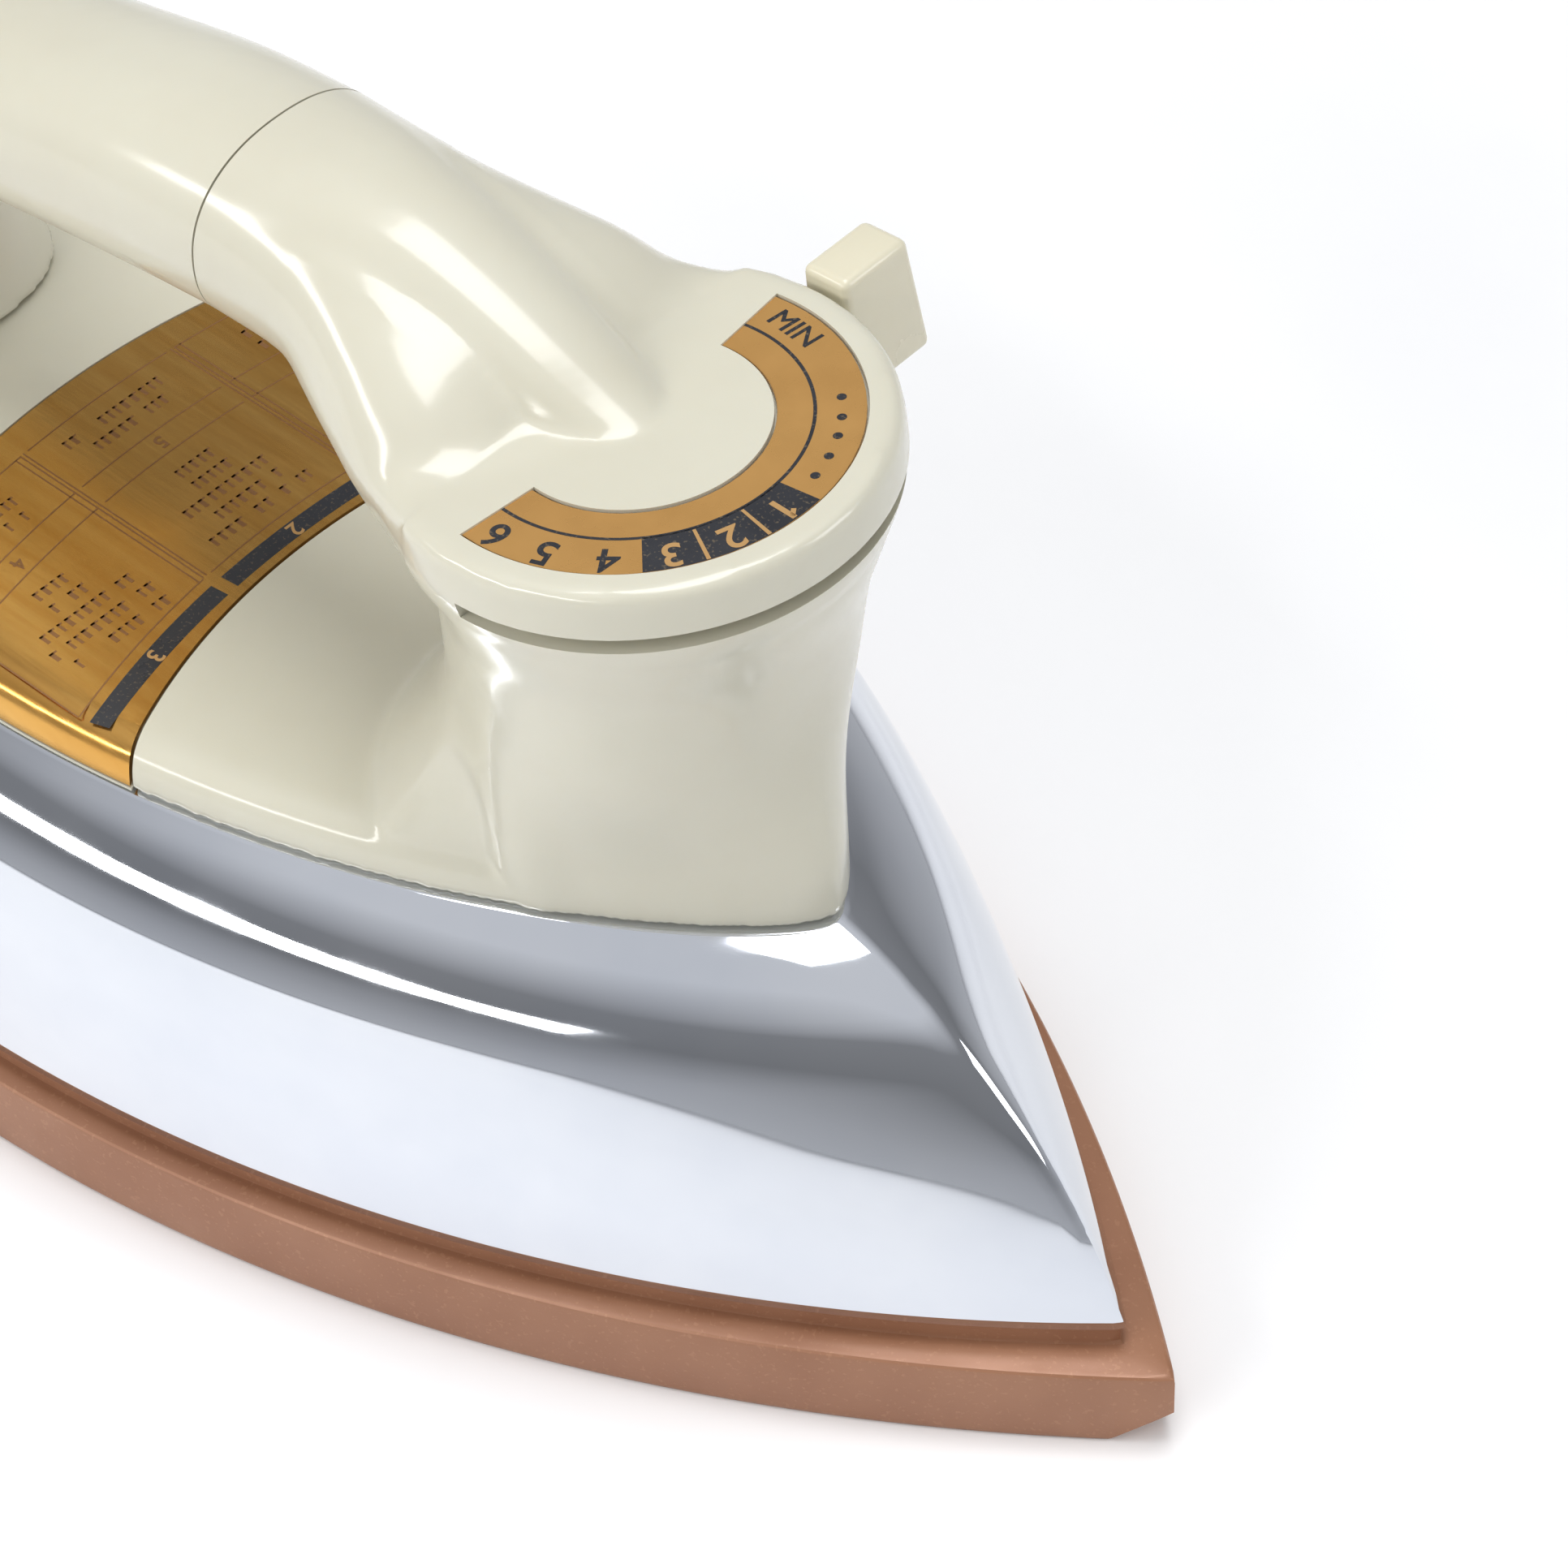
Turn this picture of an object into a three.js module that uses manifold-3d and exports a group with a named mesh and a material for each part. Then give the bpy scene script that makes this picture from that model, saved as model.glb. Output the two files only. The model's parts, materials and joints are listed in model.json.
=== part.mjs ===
// A heavy dry iron: coated soleplate, chrome shell, cream handle with a turning temperature lever.
// Millimetres. +X points to the nose, +Y is the iron's left side, +Z is up.
// The origin is under the middle of the iron, on the surface that the sole rests on.
import * as THREE from 'three';
import { ParametricGeometry } from 'three/addons/geometries/ParametricGeometry.js';
import { RoundedBoxGeometry } from 'three/addons/geometries/RoundedBoxGeometry.js';
import { mergeVertices } from 'three/addons/utils/BufferGeometryUtils.js';
import Module from 'manifold-3d';

const wasm = await Module();
wasm.setup();

// ---------- driving dimensions ----------
const fitGap = 0.3;              // air left between pieces that touch

// soleplate
const noseX = 119.2;             // where the two sides of the sole would meet
const rearX = -119;              // back edge of the sole
const soleHalfWidth = 58.5;      // at the widest section
const noseHalfAngle = 39.5;      // degrees, each side at the nose
const sideTightening = 0.0013;   // how much the side bends more towards the back, per mm
const heelSquareness = 2.7;      // 2 would be an ellipse
const flangeHeight = 11.8;       // copper coloured edge
const pedestalHeight = 2.9;      // narrower band that the shell stands on
const pedestalInset = 3.2;
const noseBevelLength = 6.3;     // the tip is bevelled underneath, this far back
const noseBevelAngle = 43;       // degrees, up from the table

// heating element, cast into a groove of the sole
const elementRadius = 3.5;
const elementInset = 20;         // centre line, from the edge of the sole
const elementBack = rearX + 51;  // where the two legs of the U end
const elementNoseRound = 11;
const terminalPinRadius = 1.6;

// ballast
const insulationThickness = 0.5;
const ballastThickness = 8.5;
const ballastInset = 11;

// chrome shell
const shellWall = 1.2;
const soleTopZ = flangeHeight + pedestalHeight;
const shellRimZ = soleTopZ + fitGap;
const shellHeight = 39;
const shellTopZ = shellRimZ + shellHeight;
const nosePullLength = 50;       // how far back along the edge the nose shape reaches

// cream base
const baseHeight = 6;            // skirt standing on the shell
const baseWall = 2.4;
const baseSplitRadius = 83;      // arc between front housing and base cover
const baseSplitAhead = 26;       // its centre, ahead of the dial axis
const chartRearRadius = 99;      // back edge of the fabric chart plate, about the dial axis
const chartThickness = 0.6;

// dial head, in a frame that leans back by dialLean
const dialX = noseX - 76.7;
const dialRise = 59.8;           // dial above the top of the shell
const dialZ = shellTopZ + dialRise;
const dialLean = 5;              // degrees
const capRadius = 28.6;
const capThickness = 5.8;
const slotGap = 2.3;
const scaleBorder = 4.1;         // cream edge left around the scale
const scaleOuterRadius = capRadius - scaleBorder;
const scaleWidth = 9.7;
const scaleInnerRadius = scaleOuterRadius - scaleWidth;
const scaleRecess = 1;
const scaleThickness = 0.6;
const scaleBack = 2.6;           // how far the scale reaches behind the dial axis
const postTopRadius = capRadius - 0.6;
const postWaistRadius = 23;
const postWall = 2.6;

// temperature lever and its spindle
const leverThickness = 1.3;
const leverHubRadius = 8;
const leverArmWidth = 5;
const knobWidth = 6.6;
const knobInnerRadius = capRadius + 0.8;
const knobDepth = 10.4;
const knobHeight = 16;
const knobRise = 0.5;            // top of the knob above the dial
const spindleRadius = 2.5;
const runningGap = 0.35;         // around everything that turns

// handle grip
const seamX = -10.5;             // between front housing and handle
const gripHalfWidth = 14.7;
const gripHalfHeight = 12.4;
const gripSeamZ = dialZ + 1;
const tongueLength = 12;         // the handle's tongue in the neck
const tongueHalfWidth = 8;
const tongueHalfHeight = 6.5;
const rearPostX = rearX + 31;    // middle of its foot
const gripRearX = rearPostX - 16;
const gripRearZ = dialZ - 15.8;
const rearPostLean = -5;         // how far the top stands behind the foot
const rearPostDepth = 15;        // half of it, front to back
const rearPostHalfWidth = 17;
const rearPostWall = 3;
const rearFootReach = 3;         // how far its foot runs out over the base

// rear cover and cord inlet
const coverFaceX = gripRearX + 2;
const coverThickness = 3;
const coverHeight = 44;
const glandLength = 12;
const glandRadius = 7;
const cordBore = 3.6;
const lensRadius = 4;
const leadRadius = 1.2;

// thermostat, measured down the spindle axis from the dial
const stackOffset = -16;         // clamp screw of the blade stack, behind the spindle
const bladeWidth = 7;
const bladeReach = 11;           // blade end, ahead of the spindle
const insulatorRadius = 4.5;
const stackScrewRadius = 1.5;

const rad = THREE.MathUtils.degToRad;

// ---------- finishes ----------
const finishes = {
  cream: { color: 0xd2cec2, roughness: 0.25, metalness: 0 },
  creamKnob: { color: 0xd6cfba, roughness: 0.3, metalness: 0 },
  chrome: { color: 0xc5ccd4, roughness: 0.06, metalness: 1 },
  sole: { color: 0x9c6e56, roughness: 0.45, metalness: 0.3 },
  gold: { color: 0xbf9049, roughness: 0.22, metalness: 0.8 },
  castIron: { color: 0x4a4a4c, roughness: 0.8, metalness: 0.6 },
  steel: { color: 0x9a9ca0, roughness: 0.4, metalness: 1 },
  brass: { color: 0xb79a55, roughness: 0.35, metalness: 1 },
  ceramic: { color: 0xe8e4da, roughness: 0.6, metalness: 0 },
  mica: { color: 0xb9ad90, roughness: 0.7, metalness: 0 },
  silver: { color: 0xd8d8d6, roughness: 0.3, metalness: 1 },
  bakelite: { color: 0x3a2a22, roughness: 0.5, metalness: 0 },
  glassRed: { color: 0xc2402c, roughness: 0.15, metalness: 0 },
  leadSleeve: { color: 0xd9d4c4, roughness: 0.8, metalness: 0 },
};

// ---------- solids ----------
function toSolid(geometry) {
  const bare = geometry.clone();
  bare.deleteAttribute('normal');
  bare.deleteAttribute('uv');
  const merged = mergeVertices(bare, 1e-4);
  const index = merged.index.array;
  const kept = [];
  for (let i = 0; i < index.length; i += 3) {
    const [a, b, c] = [index[i], index[i + 1], index[i + 2]];
    if (a !== b && b !== c && c !== a) kept.push(a, b, c);
  }
  const points = new Float32Array(merged.attributes.position.array);
  const build = (order) => new wasm.Manifold(
    new wasm.Mesh({ numProp: 3, vertProperties: points, triVerts: new Uint32Array(order) }));
  const solid = build(kept);
  if (solid.volume() >= 0) return solid;
  return build(kept.map((_, i) => kept[i - (i % 3) + (2 - (i % 3))]));
}

function toGeometry(solid) {
  const mesh = solid.getMesh();
  const geometry = new THREE.BufferGeometry();
  const positions = new Float32Array(mesh.numVert * 3);
  for (let i = 0; i < mesh.numVert; i++) {
    for (let k = 0; k < 3; k++) positions[i * 3 + k] = mesh.vertProperties[i * mesh.numProp + k];
  }
  geometry.setAttribute('position', new THREE.BufferAttribute(positions, 3));
  geometry.setIndex(new THREE.BufferAttribute(new Uint32Array(mesh.triVerts), 1));
  geometry.computeVertexNormals();
  return geometry;
}

const join = (...solids) => solids.reduce((a, b) => a.add(b));
const cut = (solid, ...tools) => tools.reduce((a, b) => a.subtract(b), solid);

// A closed body through a stack of rings that all have the same number of points.
function loft(rings) {
  const centre = (ring) => ring.reduce((a, p) => a.clone().add(p), new THREE.Vector3())
    .divideScalar(ring.length);
  const around = rings[0].length;
  const ends = [rings[0], rings[rings.length - 1]].map((ring) => Array(around).fill(centre(ring)));
  const stack = [ends[0], ...rings, ends[1]];
  const last = stack.length - 1;
  const surface = new ParametricGeometry((u, v, target) => {
    target.copy(stack[Math.round(v * last)][Math.round(u * around) % around]);
  }, around, last);
  return toSolid(surface);
}

function prism(outline, lowZ, highZ) {
  const shape = new THREE.Shape(outline.map((p) => new THREE.Vector2(p.x, p.y)));
  const geometry = new THREE.ExtrudeGeometry(shape, { depth: highZ - lowZ, bevelEnabled: false });
  return toSolid(geometry.translate(0, 0, lowZ));
}

function box(lowX, highX, halfY, lowZ, highZ) {
  const geometry = new THREE.BoxGeometry(highX - lowX, halfY * 2, highZ - lowZ);
  return toSolid(geometry.translate((lowX + highX) / 2, 0, (lowZ + highZ) / 2));
}

function rod(x, y, radius, lowZ, highZ, sides = 20) {
  const geometry = new THREE.CylinderGeometry(radius, radius, highZ - lowZ, sides);
  geometry.rotateX(Math.PI / 2);
  return toSolid(geometry.translate(x, y, (lowZ + highZ) / 2));
}

function ring(x, y, outer, inner, lowZ, highZ, sides = 20) {
  return cut(rod(x, y, outer, lowZ, highZ, sides), rod(x, y, inner, lowZ - 1, highZ + 1, sides));
}

function screw(x, y, shank, head, lowZ, seatZ, headHeight) {
  return join(rod(x, y, shank, lowZ, seatZ + headHeight / 2, 12),
    rod(x, y, head, seatZ, seatZ + headHeight, 16));
}

function tube(points, radius, sides, steps) {
  const circle = new THREE.Shape();
  for (let i = 0; i < sides; i++) {
    const angle = (i / sides) * Math.PI * 2;
    const point = [Math.cos(angle) * radius, Math.sin(angle) * radius];
    if (i === 0) circle.moveTo(...point);
    else circle.lineTo(...point);
  }
  const path = new THREE.CatmullRomCurve3(points, false, 'centripetal');
  return toSolid(new THREE.ExtrudeGeometry(circle, { extrudePath: path, steps, curveSegments: 1 }));
}

const vec = (x, y, z) => new THREE.Vector3(x, y, z);
const clamp01 = (t) => THREE.MathUtils.clamp(t, 0, 1);
const clampTo = (value, most) => THREE.MathUtils.clamp(value, 0, most);
const ease = (t) => clamp01(t) * clamp01(t) * (3 - 2 * clamp01(t));

// Reads a value off a list of [position, value] stations with a smooth curve between them.
function station(list, at) {
  if (at <= list[0][0]) return list[0][1];
  for (let i = 1; i < list.length; i++) {
    if (at <= list[i][0]) {
      const [x0, y0] = list[i - 1];
      const [x1, y1] = list[i];
      const slope = (k) => {
        const a = list[Math.max(k - 1, 0)];
        const b = list[Math.min(k + 1, list.length - 1)];
        return (b[1] - a[1]) / (b[0] - a[0]);
      };
      const t = (at - x0) / (x1 - x0);
      const span = x1 - x0;
      return (1 + 2 * t) * (1 - t) ** 2 * y0 + t * (1 - t) ** 2 * span * slope(i - 1)
        + t * t * (3 - 2 * t) * y1 + t * t * (t - 1) * span * slope(i);
    }
  }
  return list[list.length - 1][1];
}

// ---------- the sole's outline ----------
// One side, from the nose to the widest section: its heading falls smoothly to zero there.
// Behind it a squared quarter curve closes the heel. The radius follows from the half width.
function buildSoleEdge() {
  const start = rad(noseHalfAngle);
  const walk = (radius) => {
    const points = [];
    const step = 0.5;
    let x = noseX;
    let y = 0;
    for (let s = 0; ; s += step) {
      const heading = start - (s / radius) * (1 + sideTightening * s);
      if (heading <= 0) break;
      points.push({ x, y, s, heading });
      x -= Math.cos(heading) * step;
      y += Math.sin(heading) * step;
    }
    return points;
  };
  let low = 100;
  let high = 900;
  for (let i = 0; i < 40; i++) {
    const middle = (low + high) / 2;
    const points = walk(middle);
    if (points[points.length - 1].y > soleHalfWidth) high = middle;
    else low = middle;
  }
  const points = walk((low + high) / 2);
  const wide = points[points.length - 1];
  const heelLength = wide.x - rearX;
  const turns = 60;
  for (let i = 1; i <= turns; i++) {
    const t = (i / turns) * (Math.PI / 2);
    const x = wide.x - heelLength * Math.sin(t) ** (2 / heelSquareness);
    const y = wide.y * Math.cos(t) ** (2 / heelSquareness);
    const previous = points[points.length - 1];
    const s = previous.s + Math.hypot(x - previous.x, y - previous.y);
    const heading = i === turns ? -Math.PI / 2 : Math.atan2(y - previous.y, previous.x - x);
    points.push({ x, y, s, heading });
  }
  return points;
}
const soleEdge = buildSoleEdge();

// A closed outline inside the sole's edge. nosePull draws the nose in further than the sides,
// and round blunts its tip.
function insetOutline(inset, nosePull = 0, round = 0, half = 24) {
  const side = [];
  for (const edge of soleEdge) {
    const depth = inset + nosePull * Math.exp(-edge.s / nosePullLength);
    const x = edge.x - depth * Math.sin(edge.heading);
    const y = edge.y - depth * Math.cos(edge.heading);
    if (y >= round && (side.length === 0 || x < side[side.length - 1].x + 1e-9)) {
      side.push(new THREE.Vector2(x, Math.sqrt(Math.max(y * y - round * round, 0))));
    }
  }
  const back = soleEdge[soleEdge.length - 1];
  const head = new THREE.Vector2(side[0].x + (side[0].y > 0.02 ? side[0].y * 0.4 : 0), 0);
  const line = [head, ...side.filter((p) => p.y > 0.4), new THREE.Vector2(back.x + inset, 0)];
  const lengths = [0];
  for (let i = 1; i < line.length; i++) lengths.push(lengths[i - 1] + line[i].distanceTo(line[i - 1]));
  const total = lengths[lengths.length - 1];
  const pick = (distance) => {
    let i = 1;
    while (i < lengths.length - 1 && lengths[i] < distance) i++;
    const t = (distance - lengths[i - 1]) / (lengths[i] - lengths[i - 1] || 1);
    return line[i - 1].clone().lerp(line[i], clamp01(t));
  };
  const nearSide = [];
  for (let i = 0; i <= half; i++) {
    const t = i / half;
    nearSide.push(pick(total * (0.35 * t * t + 0.65 * t)));
  }
  const farSide = nearSide.slice(1, -1).reverse().map((p) => new THREE.Vector2(p.x, -p.y));
  return [...nearSide, ...farSide];
}
const atZ = (outline, z) => outline.map((p) => vec(p.x, p.y, z));

// Rings of the chrome shell: height above its rim (out of 39), inset of the sides, extra inset
// and bluntness of the nose.
const baseInset = 16;
const baseNosePull = 23.4;
const baseNoseRound = 4;
const shellRings = [
  [0, 2.0, 2.9, 0.2],
  [7.5, 2.5, 4.8, 0.2],
  [14, 2.95, 7.5, 0.4],
  [21, 3.6, 11.8, 1],
  [28, 4.9, 17.5, 2],
  [32, 6.8, 20.5, 2.5],
  [34.8, 9.2, 22.8, 3],
  [37.2, 12.4, 23.8, 3.5],
  [39, baseInset, baseNosePull, baseNoseRound],
].map(([rise, ...rest]) => [shellRimZ + (rise / 39) * shellHeight, ...rest]);

// ---------- places that several pieces share ----------
const insulationZ = soleTopZ + fitGap;
const ballastZ = insulationZ + insulationThickness + fitGap;
const ballastTopZ = ballastZ + ballastThickness;
const baseBottomZ = shellTopZ + fitGap;
const baseTopZ = shellTopZ + baseHeight;
const elementZ = soleTopZ - elementRadius - 0.2;
const boltRadius = 2.1;
const boltHoleRadius = 2.4;
const ballastBoltPlaces = [[dialX + 36, 0], [rearX + 77, 24], [rearX + 77, -24]];
const boltHoles = () => ballastBoltPlaces.map(([x, y]) =>
  rod(x, y, boltHoleRadius, 0, shellTopZ, 12));
const spacerPlaces = [[dialX - 46, 0], [rearPostX + 31, 0]];
const boltTipZ = soleTopZ - 6.7;
const shellScrewHead = 1.8;
const screwHoleRadius = 2.3;
const handleScrewPlaces = [[dialX - 18, 0], [rearPostX + 8, 0]];
const leadHole = [rearPostX - 3, 0];
const leadHoleRadius = 5.4;

const dialPoint = vec(dialX, 0, dialZ);
const dialMatrix = new THREE.Matrix4().makeRotationY(rad(-dialLean)).setPosition(dialPoint);
const inWorld = (solid) => toSolid(toGeometry(solid).applyMatrix4(dialMatrix));

// ---------- soleplate group ----------
function noseCutter() {
  const geometry = new THREE.BoxGeometry(60, 60, 30);
  geometry.translate(0, 0, -15).rotateY(-rad(noseBevelAngle)).translate(noseX - noseBevelLength, 0, 0);
  return toSolid(geometry);
}

function elementPath() {
  const outline = insetOutline(elementInset, 0, elementNoseRound, 40);
  const half = outline.slice(0, 41).filter((p) => p.x > elementBack);
  const left = half.slice(1).reverse();
  const right = half.slice(1).map((p) => new THREE.Vector2(p.x, -p.y));
  return [...left, half[0], ...right].map((p) => vec(p.x, p.y, elementZ));
}

function elementEnds() {
  const path = elementPath();
  return [path[0], path[path.length - 1]];
}

function soleplate() {
  const flange = prism(insetOutline(0, 0, 0.2, 30), 0, flangeHeight);
  const pedestal = prism(insetOutline(pedestalInset, 2, 0.3, 30), 1, soleTopZ);
  const grooveHalf = elementRadius + fitGap;
  const grooveSide = (inset) => insetOutline(inset, 0, elementNoseRound, 30);
  const outer = prism(grooveSide(elementInset - grooveHalf), elementZ - grooveHalf, soleTopZ + 1);
  const inner = prism(grooveSide(elementInset + grooveHalf), 0, soleTopZ + 2);
  const groove = cut(outer, inner, box(rearX - 5, elementBack - elementRadius - 1, 80, 0, soleTopZ + 5));
  const scoops = [1, -1].map((sideSign) => {
    const geometry = new THREE.CylinderGeometry(30, 30, 5, 40);
    geometry.rotateX(Math.PI / 2).rotateZ(-sideSign * rad(noseHalfAngle - 6));
    return toSolid(geometry.translate(dialX + 47, sideSign * 24.6, flangeHeight - 37));
  });
  const bolts = ballastBoltPlaces.map(([x, y]) =>
    rod(x, y, boltRadius + 0.1, boltTipZ - 1, soleTopZ + 1, 12));
  return cut(join(flange, pedestal), groove, noseCutter(), ...scoops,
    inWorld(stackHole(stackFootZ - stackScrewDepth - 8, stackFootZ + 3.5)), ...bolts);
}

function heatingElement() {
  return tube(elementPath(), elementRadius, 8, 44);
}

function terminalPin(sideSign) {
  const end = elementEnds()[sideSign > 0 ? 0 : 1];
  const start = elementZ + elementRadius + fitGap;
  return join(
    rod(end.x + 4, end.y, terminalPinRadius, start, ballastTopZ + 9, 10),
    rod(end.x + 4, end.y, terminalPinRadius * 2, ballastTopZ + 7, ballastTopZ + 9, 10));
}

function windows() {
  const ends = elementEnds();
  const thermostatWindow = box(dialX - 18, dialX + 30, 10, 0, 60);
  const pins = ends.map((end) => rod(end.x + 4, end.y, terminalPinRadius + 2.2, 0, 60, 14));
  return [thermostatWindow, ...pins];
}

function insulationSheet() {
  const sheet = prism(insetOutline(ballastInset, 6, 1, 20), insulationZ, insulationZ + insulationThickness);
  return cut(sheet, ...windows(), ...boltHoles());
}

function ballastPlate() {
  const plate = prism(insetOutline(ballastInset, 6, 1, 20), ballastZ, ballastTopZ);
  return cut(plate, ...windows(), ...boltHoles());
}

function ballastBolt([x, y]) {
  return screw(x, y, boltRadius, boltRadius * 2, boltTipZ, ballastTopZ + fitGap, 3);
}

// ---------- shell ----------
function shellBody(grow, half) {
  return shellRings.map(([z, inset, pull, round]) =>
    atZ(insetOutline(inset + grow, pull, round, half), z - grow));
}

function chromeShell() {
  const outer = loft(shellBody(0, 24));
  const innerRings = shellBody(shellWall, 16);
  const skirt = innerRings[0].map((p) => vec(p.x, p.y, shellRimZ - 8));
  const inner = loft([skirt, ...innerRings]);
  const topHole = (x, y, radius) => rod(x, y, radius, shellTopZ - 6, shellTopZ + 6, 20);
  const spindleHole = inWorld(rod(0, 0, 7, -dialRise - 12, -dialRise + 12, 24));
  return cut(outer, inner, spindleHole, topHole(...leadHole, leadHoleRadius + 1),
    ...spacerPlaces.map(([x, y]) => topHole(x, y, 2.6)),
    ...handleScrewPlaces.map(([x, y]) => topHole(x, y, 2.3)));
}

function spacerPost([x, y]) {
  return rod(x, y, 5, ballastTopZ + fitGap, shellTopZ - shellWall - fitGap, 6);
}

function shellScrew([x, y]) {
  return cut(rod(x, y, 4.5, shellTopZ + fitGap, shellTopZ + fitGap + shellScrewHead, 16),
    box(x - 6, x + 6, 0.5, shellTopZ + 1.2, shellTopZ + 5));
}

function handleScrew([x, y]) {
  return screw(x, y, 2, 4, shellTopZ - shellWall - 2.8, shellTopZ - shellWall - 2.8, 2.4)
    .add(rod(x, y, 2, shellTopZ - 3, baseTopZ + 8, 12));
}

// ---------- cream base, post, cap and handle ----------
function basePlateau(grow, topZ, bottomZ = baseBottomZ) {
  const layer = (z, inset) => atZ(insetOutline(baseInset + inset + grow, baseNosePull, baseNoseRound), z);
  return loft([
    layer(bottomZ, 0),
    layer(Math.min(bottomZ + 2, topZ - 2), 0.2),
    layer(topZ - 1.4, 1.1),
    layer(topZ - 0.4, 2.6),
    layer(topZ, 4.6),
  ]);
}

// How far the base's edge stands from the dial axis in each direction from the nose.
const baseEdge = insetOutline(baseInset, baseNosePull, baseNoseRound, 60).slice(0, 61);
function edgeRadius(angle) {
  for (let i = 1; i < baseEdge.length; i++) {
    const a = baseEdge[i - 1];
    const b = baseEdge[i];
    const first = Math.atan2(a.y, a.x - dialX);
    const second = Math.atan2(b.y, b.x - dialX);
    if (angle >= first && angle <= second) {
      const t = (angle - first) / (second - first || 1);
      return Math.hypot(a.x - dialX + (b.x - a.x) * t, a.y + (b.y - a.y) * t);
    }
  }
  return baseSplitRadius - baseSplitAhead;
}

// Heights under the dial, and the share of the widening that is reached there.
// The post stands on the base's edge in front, is round under the cap, and runs out into the
// top of the base with a hollow foot at its sides and behind.
const postRadii = [
  [-59.5, 0], [-37.8, 0.02], [-29.8, 0.08], [-23.8, 0.22],
  [-18.8, 0.4], [-13.8, 0.68], [-9.8, 0.9], [-5.8, 1],
].map(([below, share]) => [dialZ + below, share * (postTopRadius - postWaistRadius)]);
const footReach = 10;
const footTopZ = baseTopZ + 24;
const prowTopZ = baseTopZ + 26;

function postRing(z, shrink, around) {
  const points = [];
  const cup = station(postRadii, z);
  const prowShare = 1 - ease((z - baseTopZ) / (prowTopZ - baseTopZ));
  const footShare = clamp01((footTopZ - z) / (footTopZ - baseTopZ)) ** 2.3;
  for (let i = 0; i < around; i++) {
    const angle = (i / around) * Math.PI * 2;
    const folded = Math.min(angle, Math.PI * 2 - angle);
    const edge = edgeRadius(folded);
    const circle = postWaistRadius + cup * (1 - 0.75 * ease((folded - 1.6) / 0.5));
    const front = prowShare * (1 - ease((folded - 1.3) / 0.6));
    const spread = clampTo(edge - postWaistRadius - 2.5, footReach);
    const foot = footShare * spread * ease((folded - 1.3) / 0.6);
    const radius = THREE.MathUtils.lerp(circle, edge, front) + foot - shrink;
    points.push(vec(dialX + Math.cos(angle) * radius, Math.sin(angle) * radius, z));
  }
  return points;
}

function post(shrink, lowZ, highZ, around = 36) {
  const rings = [];
  const steps = 8;
  for (let i = 0; i <= steps; i++) rings.push(postRing(lowZ + ((highZ - lowZ) * i) / steps, shrink, around));
  return loft(rings);
}

// Oval section of the handle, square to its centre line.
function oval(x, z, halfWidth, halfHeight, lean, around = 24, squareness = 2.25) {
  const points = [];
  for (let i = 0; i < around; i++) {
    const angle = (i / around) * Math.PI * 2;
    const c = Math.cos(angle);
    const s = Math.sin(angle);
    const across = Math.sign(c) * Math.abs(c) ** (2 / squareness) * halfWidth;
    const up = Math.sign(s) * Math.abs(s) ** (2 / squareness) * halfHeight;
    points.push(vec(x - up * Math.sin(lean), across, z + up * Math.cos(lean)));
  }
  return points;
}

// The neck climbs out of the post and turns back into the grip.
function neck() {
  const around = 28;
  return loft([
    oval(dialX - 3, dialZ - 29.8, 20, 12, rad(-82), around),
    oval(dialX - 7, dialZ - 19.8, 20.6, 12.4, rad(-70), around, 2.5),
    oval(dialX - 14, dialZ - 9.5, 22.4, 11.2, rad(-52), around, 2.8),
    oval(dialX - 21, dialZ - 3, 21.4, 10.6, rad(-36), around, 2.7),
    oval(dialX - 29, dialZ + 0.6, 17.2, 10.8, rad(-20), around, 2.4),
    oval(dialX - 40, dialZ + 1.4, 14.8, 11.8, rad(-7), around),
    oval(seamX + fitGap / 2, gripSeamZ, gripHalfWidth, gripHalfHeight, 0, around),
  ]);
}

// The raised front of the handle that runs down onto the dial and ends like the bowl of a spoon.
function spoon() {
  const sections = [
    [seamX + fitGap / 2, gripSeamZ, gripHalfWidth, gripHalfHeight],
    [dialX - 42, dialZ + 1.6, 14.6, 12.4],
    [dialX - 31, dialZ + 0.8, 14, 11.9],
    [dialX - 21, dialZ - 1.2, 12.7, 11],
    [dialX - 12, dialZ - 3.4, 11, 9.6],
    [dialX - 4, dialZ - 5.2, 9, 7.8],
    [dialX + 1.5, dialZ - 5.8, 7, 6.2],
    [dialX + 4, dialZ - 6.2, 5, 5],
  ];
  return loft(sections.map(([x, z, w, h]) => oval(x, z, w, h, 0)));
}

function cap() {
  const around = 44;
  const layer = (z, grow) => Array.from({ length: around }, (_, i) => {
    const angle = (i / around) * Math.PI * 2;
    return vec(Math.cos(angle) * (capRadius + grow), Math.sin(angle) * (capRadius + grow), z);
  });
  return inWorld(loft([
    layer(-capThickness - slotGap - 3.2, postTopRadius - capRadius - 1),
    layer(-capThickness - slotGap, postTopRadius - capRadius + 0.1),
    layer(-capThickness, 0),
    layer(-1.2, -0.2),
    layer(-0.35, -0.5),
    layer(0, -1.2),
  ]));
}

// Everything in front of the seam, as one body.
function headBody() {
  return join(post(0, baseBottomZ, dialZ - capThickness - slotGap - 1), neck(), spoon(), cap());
}

// A tongue on the handle fits this socket in the neck.
function tongue(grow, length) {
  const section = (x) => oval(x, gripSeamZ, tongueHalfWidth + grow, tongueHalfHeight + grow, 0, 16);
  return loft([section(seamX - 3), section(seamX + length)]);
}

const baseDisc = (x, radius) => rod(x, 0, radius, baseBottomZ - 10, baseTopZ + 10, 56);
const splitDisc = (radius) => baseDisc(dialX + baseSplitAhead, radius);

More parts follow.
